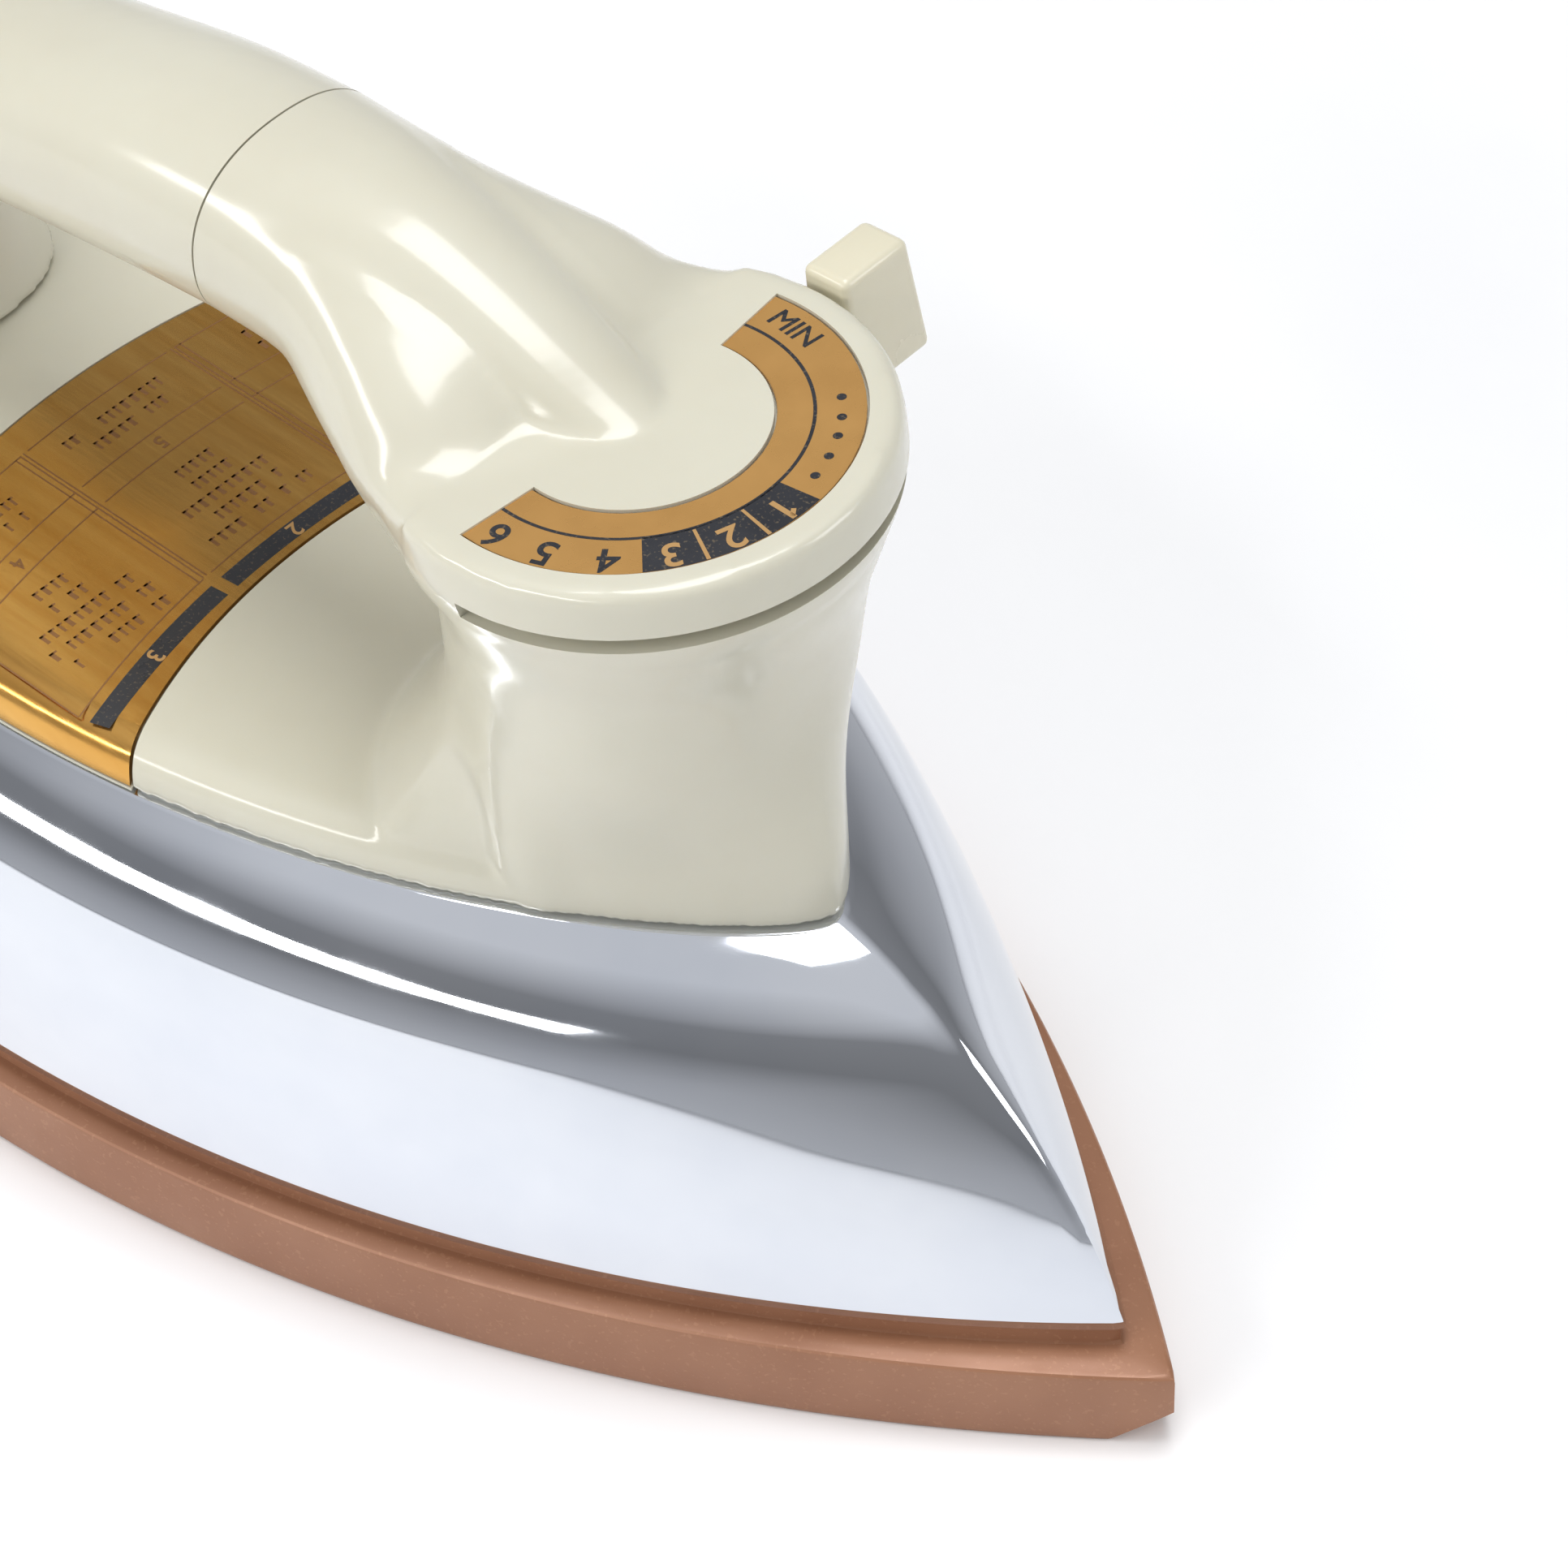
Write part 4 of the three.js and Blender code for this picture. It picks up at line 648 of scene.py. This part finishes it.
def makeFrontHousing():
    gripZ = dialZ + grip["rise"]
    seam, width, height = grip["seam"], grip["halfWidth"], grip["halfHeight"]
    neck = [(x, z, w, h, math.radians(lean), square) for x, z, w, h, lean, square in
            aroundDial(housing["neck"])]
    neck += [(seam, gripZ, width, height, 0, 2.25), (seam - 6, gripZ - 0.2, width, height, 0, 2.25)]
    spoon = [(seam - 6, gripZ - 0.2, width, height), (seam, gripZ, width, height)]
    spoon += aroundDial(housing["spoon"])
    under = -cap["thickness"] - cap["slot"]
    capLayers = [(under - 3.2, 27), (under, 28.1), (-cap["thickness"], cap["radius"]), (-1.4, 28.4),
                 (-0.7, 28.2), (-0.3, 27.9), (0, 27.3)]
    steps = housing["levels"]
    lowZ, highZ = baseBottom, dialZ - cap["thickness"] - cap["slot"] - 1
    postBody = loft([postRing(lerp(lowZ, highZ, i / steps)) for i in range(steps + 1)])
    floorPart = asObject("floor", plateau(0, baseTop, baseBottom))
    cutFlat(floorPart, (-30, 0, 0), (-1, 0, 0))
    shapes = (postBody, ovals(neck), ovals(spoon), ovals(aroundDial(housing["web"])),
              discLoft(capLayers, dialPlace))
    parts = [asObject("part", bm) for bm in shapes] + [floorPart]
    obj = melted(joined("front_housing_moulding", parts), housing["voxel"], housing["rounds"])
    smoothShoulders(obj)
    boolean(obj, "INTERSECT", cylinder(splitX, 0, base["splitRadius"] - gap / 2, 40, 150, 512))
    boolean(obj, "DIFFERENCE", block(-60, seam + gap / 2, -40, 40, baseTop + 8, 160))
    cutFlat(obj, (0, 0, baseBottom), (0, 0, -1))
    slot = cylinder(0, 0, housing["slotReach"], under, -cap["thickness"], 192)
    bmesh.ops.bisect_plane(slot, geom=slot.verts[:] + slot.edges[:] + slot.faces[:], dist=1e-7,
                           plane_co=(-0.5 * mm, 0, 0), plane_no=(-1, 0, 0), clear_outer=True)
    bmesh.ops.holes_fill(slot, edges=[e for e in slot.edges if e.is_boundary], sides=0)
    bmesh.ops.transform(slot, matrix=dialPlace, verts=slot.verts)
    boolean(obj, "DIFFERENCE", slot)
    boolean(obj, "DIFFERENCE", block(-3.9, 3.9, 1, 42, under, -cap["thickness"], dialPlace))
    reach = math.pi / 2 + 0.1
    grow = housing["dialGap"]
    boolean(obj, "DIFFERENCE", sector(cap["inner"] - grow, cap["outer"] + grow, -reach, reach,
                                      -cap["recess"], 5, dialPlace, 96, clipX=-cap["back"] - grow))
    boolean(obj, "DIFFERENCE", cylinder(dialX - housing["roomBack"], 0, housing["roomRadius"], 40,
                                        dialZ - housing["roomDown"], 64))
    boolean(obj, "DIFFERENCE", cylinder(0, 0, housing["spindleHole"], -30, -cap["thickness"] + 3.4, 48,
                                        dialPlace))
    reshade(obj, 40)
    dress(obj, "cream", "iron", "front_housing")


# handle and its rear post
rear = {"x": -88, "lean": -5, "depth": 15, "halfWidth": 17, "foot": 3, "squareness": 0.75, "levels": 30,
        "roomHalfWidth": 12}


def rearRing(z, around=120):
    gripZ = dialZ - grip["drop"]
    t = (z - baseTop) / (gripZ - baseTop)
    foot = rear["foot"] * clamp(1 - t * 2.2) ** 2
    depth = rear["depth"] - 2 * t + foot
    width = lerp(rear["halfWidth"], grip["halfWidth"] - 0.4, t) + foot * 0.7
    ring = []
    for i in range(around):
        c, s = math.cos(i / around * math.tau), math.sin(i / around * math.tau)
        ring.append((rear["x"] + rear["lean"] * t + math.copysign(abs(c) ** rear["squareness"], c) * depth,
                     math.copysign(abs(s) ** rear["squareness"], s) * width, z))
    return ring


def makeHandle():
    frontX = grip["seam"] - gap / 2
    length = frontX + grip["length"]
    lowZ, highZ = dialZ - grip["drop"], dialZ + grip["rise"]
    sections = [(frontX - length * t, lerp(lowZ, highZ, rise), w, h, math.radians(turn), 2.25)
                for t, rise, w, h, turn in grip["rows"]]
    steps = rear["levels"]
    bottom = baseTop + gap
    column = loft([rearRing(lerp(bottom, lowZ, i / steps)) for i in range(steps + 1)])
    parts = [asObject("part", ovals(sections, 64)), asObject("part", column)]
    obj = melted(joined("handle_moulding", parts), grip["voxel"], grip["rounds"])
    cutFlat(obj, (frontX, 0, 0), (1, 0, 0))
    cutFlat(obj, (gripLow.x, 0, 0), (-1, 0, 0))
    cutFlat(obj, (0, 0, bottom), (0, 0, -1))
    boolean(obj, "DIFFERENCE", block(gripLow.x - 9, rear["x"] + 3, -rear["roomHalfWidth"],
                                     rear["roomHalfWidth"], baseTop + 7, lowZ + 3))
    reshade(obj, 40)
    dress(obj, "cream", "iron", "handle_body")


# base moulding with the gold plate let into its top
def makeBaseCover():
    obj = asObject("base_cover_moulding", plateau(0, baseTop, baseBottom))
    boolean(obj, "DIFFERENCE", cylinder(splitX, 0, base["splitRadius"] + gap / 2, 40, 80, 512))
    room = asObject("room", plateau(-1, baseTop + 1, baseBottom + 0.4))
    boolean(room, "DIFFERENCE", plateau(base["plate"] + gap, baseTop - base["plate"] - gap,
                                        baseBottom - 3))
    boolean(room, "INTERSECT", cylinder(dialX, 0, base["chartRear"] + gap, 40, 80, 384))
    bm = bmesh.new()
    bm.from_mesh(room.data)
    remove(room)
    boolean(obj, "DIFFERENCE", bm)
    reshade(obj, 30)
    dress(obj, "cream", "iron", "base_cover")


def makeChartPlate():
    obj = asObject("fabric_chart_foil", plateau(0, baseTop, baseBottom))
    boolean(obj, "DIFFERENCE", plateau(base["plate"], baseTop - base["plate"], baseBottom - 3))
    boolean(obj, "INTERSECT", cylinder(dialX, 0, base["chartRear"], baseBottom + 0.7, 80, 384))
    boolean(obj, "DIFFERENCE", cylinder(splitX, 0, base["splitRadius"] + gap, 40, 80, 512))
    reshade(obj, 30)
    dress(obj, "gold", "iron", "fabric_chart_plate")


# printed chart: three columns with bars, frames and rows of dashes in place of words
chart = {"centreX": dialX + 57, "barBack": 118.0, "barFront": 115.4, "ink": 0.02, "seed": 7,
         "digitRadius": 116.7, "smallRadius": 139.8, "frontLine": 119.6, "rearLines": (137.8, 141.8, 151.4),
         "line": 0.22, "columns": [(-37.6, -13.1, "3", "4"), (-11.3, 11.3, "2", "5"), (13.1, 37.6, "1", "6")],
         "rowPitch": 2.9, "words": ((122.3, 5), (145.0, 2)), "posts": (-12.2, -12.75, -13.6, 12.2, 12.75,
                                                                       13.6, -37.9, 37.9)}


def thicken(bm, amount):  # flat strokes grow sideways by the same amount all round
    push = {}
    for v in bm.verts:
        sides = []
        for edge in v.link_edges:
            if edge.is_boundary:
                side = (edge.verts[1].co - edge.verts[0].co).normalized().cross(Vector((0, 0, 1)))
                inward = side.dot(edge.link_faces[0].calc_center_median() - edge.verts[0].co) > 0
                sides.append(-side if inward else side)
        if len(sides) == 2:
            push[v] = (sides[0] + sides[1]) * amount / max(0.4, 1 + sides[0].dot(sides[1]))
    for v, move in push.items():
        v.co += move


def lettering(text, size, place, depth=0.03):  # filled at full size, because small outlines fill badly
    data = bpy.data.curves.new("lettering", "FONT")
    data.body = text
    data.size = size
    data.align_x = "CENTER"
    data.align_y = "CENTER"
    data.resolution_u = 6
    obj = bpy.data.objects.new("lettering", data)
    scene.collection.objects.link(obj)
    bpy.context.view_layer.update()
    mesh = bpy.data.meshes.new_from_object(obj.evaluated_get(bpy.context.evaluated_depsgraph_get()))
    remove(obj)
    bm = bmesh.new()
    bm.from_mesh(mesh)
    bmesh.ops.remove_doubles(bm, verts=bm.verts, dist=1e-4)
    thicken(bm, 0.014 * size)
    raised = bmesh.ops.extrude_face_region(bm, geom=bm.faces[:])
    moved = [g for g in raised["geom"] if isinstance(g, bmesh.types.BMVert)]
    bmesh.ops.translate(bm, vec=(0, 0, depth), verts=moved)
    bmesh.ops.recalc_face_normals(bm, faces=bm.faces)
    bmesh.ops.transform(bm, matrix=place @ Matrix.Scale(mm, 4), verts=bm.verts)
    bm.to_mesh(mesh)
    bm.free()
    result = bpy.data.objects.new("lettering", mesh)
    scene.collection.objects.link(result)
    return result


def makeChartPrint():
    draw = random.Random(chart["seed"])
    z, ink, fine = baseTop, chart["ink"], chart["line"]
    dark, lines, light = [], [], []
    ahead = chart["centreX"] - dialX

    def bow(radius, thick, fromY, toY, store):
        first, last = (math.pi - math.asin(y / radius) for y in (fromY, toY))
        store.append(asObject("part", sector(radius - thick, radius, first, last, z, z + ink, steps=32,
                                             centreX=chart["centreX"])))

    def bar(lowX, highX, lowY, highY, store):
        store.append(asObject("part", block(dialX + lowX, dialX + highX, lowY, highY, z, z + ink)))

    def backFrom(radius, y):
        return ahead - math.sqrt(radius ** 2 - y ** 2)

    for lowY, highY, digit, small in chart["columns"]:
        bow(chart["barBack"], chart["barBack"] - chart["barFront"], lowY, highY, dark)
        bow(chart["frontLine"], fine, lowY - 0.2, highY + 0.2, lines)
        middle = (lowY + highY) / 2
        at = math.pi - math.asin(middle / chart["digitRadius"])
        turn = Matrix.Rotation(at - math.pi, 4, "Z") @ Matrix.Rotation(-math.pi / 2, 4, "Z")
        spot = Vector((chart["centreX"] + math.cos(at) * chart["digitRadius"],
                       math.sin(at) * chart["digitRadius"], z + ink))
        light.append(lettering(digit, 3.2, Matrix.Translation(spot * mm) @ turn))
        for radius in chart["rearLines"]:
            bow(radius, fine, lowY - 0.2, highY + 0.2, lines)
        spot = Vector((chart["centreX"] - math.sqrt(chart["smallRadius"] ** 2 - middle ** 2), middle,
                       z + ink / 2))
        lines.append(lettering(small, 3, Matrix.Translation(spot * mm) @ turn, 0.02))
        for start, count in chart["words"]:
            for row in range(count):
                x = backFrom(start + row * chart["rowPitch"], middle)
                reach = draw.choice((5.5, 6.8, 8)) if row < 3 else 2.6
                y = middle - reach
                while y < middle + reach:
                    step = draw.choice((0.7, 0.9, 1.1))
                    if draw.random() > 0.14:
                        bar(x - 0.8, x + 0.8, y, y + step * 0.55, lines)
                        bar(x - 0.8, x - 0.5, y, y + step, lines)
                    y += step + 0.45
    for y in chart["posts"]:
        bar(backFrom(chart["rearLines"][-1], y), backFrom(chart["frontLine"], y), y - fine / 2,
            y + fine / 2, lines)
    dress(joined("chart_bars", dark), "blackInk", "iron")
    dress(joined("chart_lines", lines), "lineInk", "iron")
    dress(joined("chart_digits", light), "goldInk", "iron")


# printed dial, with angles about its axis counted from the nose
dial = {"digitRadius": 22.1, "digitSize": 5.2, "lineRadius": 18.9, "lineHalf": 0.2, "ink": 0.02,
        "block": (-45.4, 5.0), "dividers": (-28.8, -11.9), "dividerHalf": 0.55,
        "digits": [("6", -88.7), ("5", -72.6), ("4", -54.7), ("3", -37.4), ("2", -20.2), ("1", -3.6)],
        "dots": (12.4, 21.2, 30.0, 38.1, 46.9), "dotRadius": 0.55, "wordAngle": 82, "wordRadius": 21.6,
        "wordSize": 3.9}


def makeDialPrint():
    top = -cap["recess"] + gap / 2 + 0.6
    ink, edge = dial["ink"], dial["lineRadius"]
    dark, light = [], []
    rad = math.radians

    def arc(inner, outer, first, last, store, high=ink, steps=48):
        store.append(asObject("part", sector(inner, outer, rad(first), rad(last), top, top + high,
                                             dialPlace, steps)))

    def polar(angle, radius, z=top):
        return Vector((math.cos(rad(angle)) * radius, math.sin(rad(angle)) * radius, z))

    def outward(spot, angle):
        return dialPlace @ Matrix.Translation(spot * mm) @ Matrix.Rotation(rad(angle - 90), 4, "Z")

    arc(edge - dial["lineHalf"], edge + dial["lineHalf"], -97, 97, dark, steps=96)
    arc(edge, cap["outer"] - 0.12, *dial["block"], dark)
    for angle in dial["dividers"]:
        arc(edge + 0.3, cap["outer"] - 0.2, angle - dial["dividerHalf"], angle + dial["dividerHalf"], light,
            ink * 2, 4)
    for angle in dial["dots"]:
        spot = polar(angle, dial["digitRadius"] - 0.3)
        dark.append(asObject("part", cylinder(spot.x, spot.y, dial["dotRadius"], top, top + ink, 24,
                                              dialPlace)))
    for digit, angle in dial["digits"]:
        inBlock = dial["block"][0] < angle < dial["block"][1]
        place = outward(polar(angle, dial["digitRadius"], top + (ink if inBlock else 0)), angle)
        shape = lettering(digit, dial["digitSize"], place, ink)
        (light if inBlock else dark).append(shape)
        if digit == "1":  # the font's own 1 is a plain bar, so it gets a flag
            flag = Matrix.Translation(Vector((-0.42, 1.3, 0)) * mm) @ Matrix.Rotation(rad(40), 4, "Z")
            light.append(asObject("part", block(-0.6, 0.6, -0.28, 0.28, 0, ink, place @ flag)))
    place = outward(polar(dial["wordAngle"], dial["wordRadius"]), dial["wordAngle"])
    dark.append(lettering("MIN", dial["wordSize"], place, ink))
    dress(joined("dial_print_dark", dark), "blackInk", "iron")
    dress(joined("dial_print_gold", light), "goldInk", "iron")


# temperature lever: hub, arm and knob, drawn to the nose and turned to MIN
lever = {"arm": 5, "thickness": 1.3, "hub": 8, "knobStart": 29.4, "knob": (10.4, 6.6, 16), "rise": 0.5,
         "flare": 0.08, "sweep": 0.18, "knobEdge": 1.1, "armEdge": 0.2}


def rounded(bm, radius, segments):
    bmesh.ops.bevel(bm, geom=bm.edges[:], offset=radius * mm, segments=segments, profile=0.5,
                    affect="EDGES", material=-1)


def makeLever():
    middle = -cap["thickness"] - cap["slot"] / 2
    low, high = middle - lever["thickness"] / 2, middle + lever["thickness"] / 2
    deep, wide, tall = lever["knob"]
    start = lever["knobStart"]
    knob = block(start, start + deep, -wide / 2, wide / 2, lever["rise"] - tall, lever["rise"])
    for v in knob.verts:
        down = (lever["rise"] - v.co.z / mm) / tall
        v.co.y *= 1 + lever["flare"] * down
        v.co.x = (start + (v.co.x / mm - start) * (1 + lever["sweep"] * down)) * mm
    rounded(knob, lever["knobEdge"], 5)
    hub = cylinder(0, 0, lever["hub"], low, high, 96)
    arm = block(2, start + 2, -lever["arm"] / 2, lever["arm"] / 2, low, high)
    for part in (hub, arm):
        rounded(part, lever["armEdge"], 2)
    obj = joined("lever_with_knob", [asObject("part", bm, 50) for bm in (knob, hub, arm)])
    obj.data.transform(dialPlace @ Matrix.Rotation(math.pi / 2, 4, "Z"))
    dress(obj, "creamKnob", "temperature_control", "temperature_lever")


# rear pieces, softened copies of the frame's own
def softCopy(name, node, voxel, rounds, look):
    bm = bmesh.new()
    bm.from_mesh(nodes[node].data)
    bmesh.ops.remove_doubles(bm, verts=bm.verts, dist=1e-6)
    obj = melted(asObject(name, bm), voxel, rounds)
    return dress(obj, look, "iron", node)


screwCross = {"long": 1.7, "short": 0.3, "depth": 0.7}


def makeRear():
    softCopy("rear_cover_moulding", "rear_cover", 0.4, 4, "cream")
    softCopy("cord_inlet_gland", "cord_gland", 0.3, 3, "cream")
    softCopy("pilot_lens", "lamp_lens", 0.25, 3, "redGlass")
    for end in ("lower", "upper"):
        obj = softCopy(f"rear_screw_{end}", f"rear_cover_screw_{end}", 0.18, 2, "steel")
        low, high = (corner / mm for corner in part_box(f"rear_cover_screw_{end}"))
        middle = (low.z + high.z) / 2
        across = (screwCross["long"], screwCross["short"])
        for tall, wide in (across, across[::-1]):
            boolean(obj, "DIFFERENCE", block(low.x - 1, low.x + screwCross["depth"], -wide, wide,
                                             middle - tall, middle + tall))
        reshade(obj)


# inner pieces keep the frame's shape and get a material each
innerLooks = {"steel": "steel", "brass": "brass", "contact_silver": "silver", "ceramic": "ceramic",
              "mica": "mica", "bakelite": "bakelite", "sleeving": "sleeve", "cast_iron": "castIron",
              "lamp_glass": "redGlass", "gold_plate": "goldDial", "cream_plastic": "cream",
              "lever_plastic": "creamKnob", "chrome_plate": "chrome", "sole_coating": "sole"}


def finishFrame():
    for part in frame["record"]["subparts"]:
        mesh = nodes[part["node"]].data
        mesh.materials.clear()
        mesh.materials.append(materials[innerLooks[part["material_slot"]]])


floorLook = {"color": (250, 250, 250), "second": (248, 248, 249), "rough": (0.5, 0.6), "mottleScale": 4}


def makeStage():
    bm = bmesh.new()
    bmesh.ops.create_grid(bm, x_segments=1, y_segments=1, size=3)
    floor = asObject("studio_floor", bm)
    floor.data.materials.append(finish("floorPaint", floorLook))


makeCamera()
makeWorld()
makeStage()
makeLights()
print("studio made")
for step in (makeSole, makeShell, makeFrontHousing, makeHandle, makeBaseCover, makeChartPlate,
             makeChartPrint, makeDialPrint, makeLever, makeRear, finishFrame):
    step()
    print(step.__name__, "done")
scene.view_settings.view_transform = "Standard"
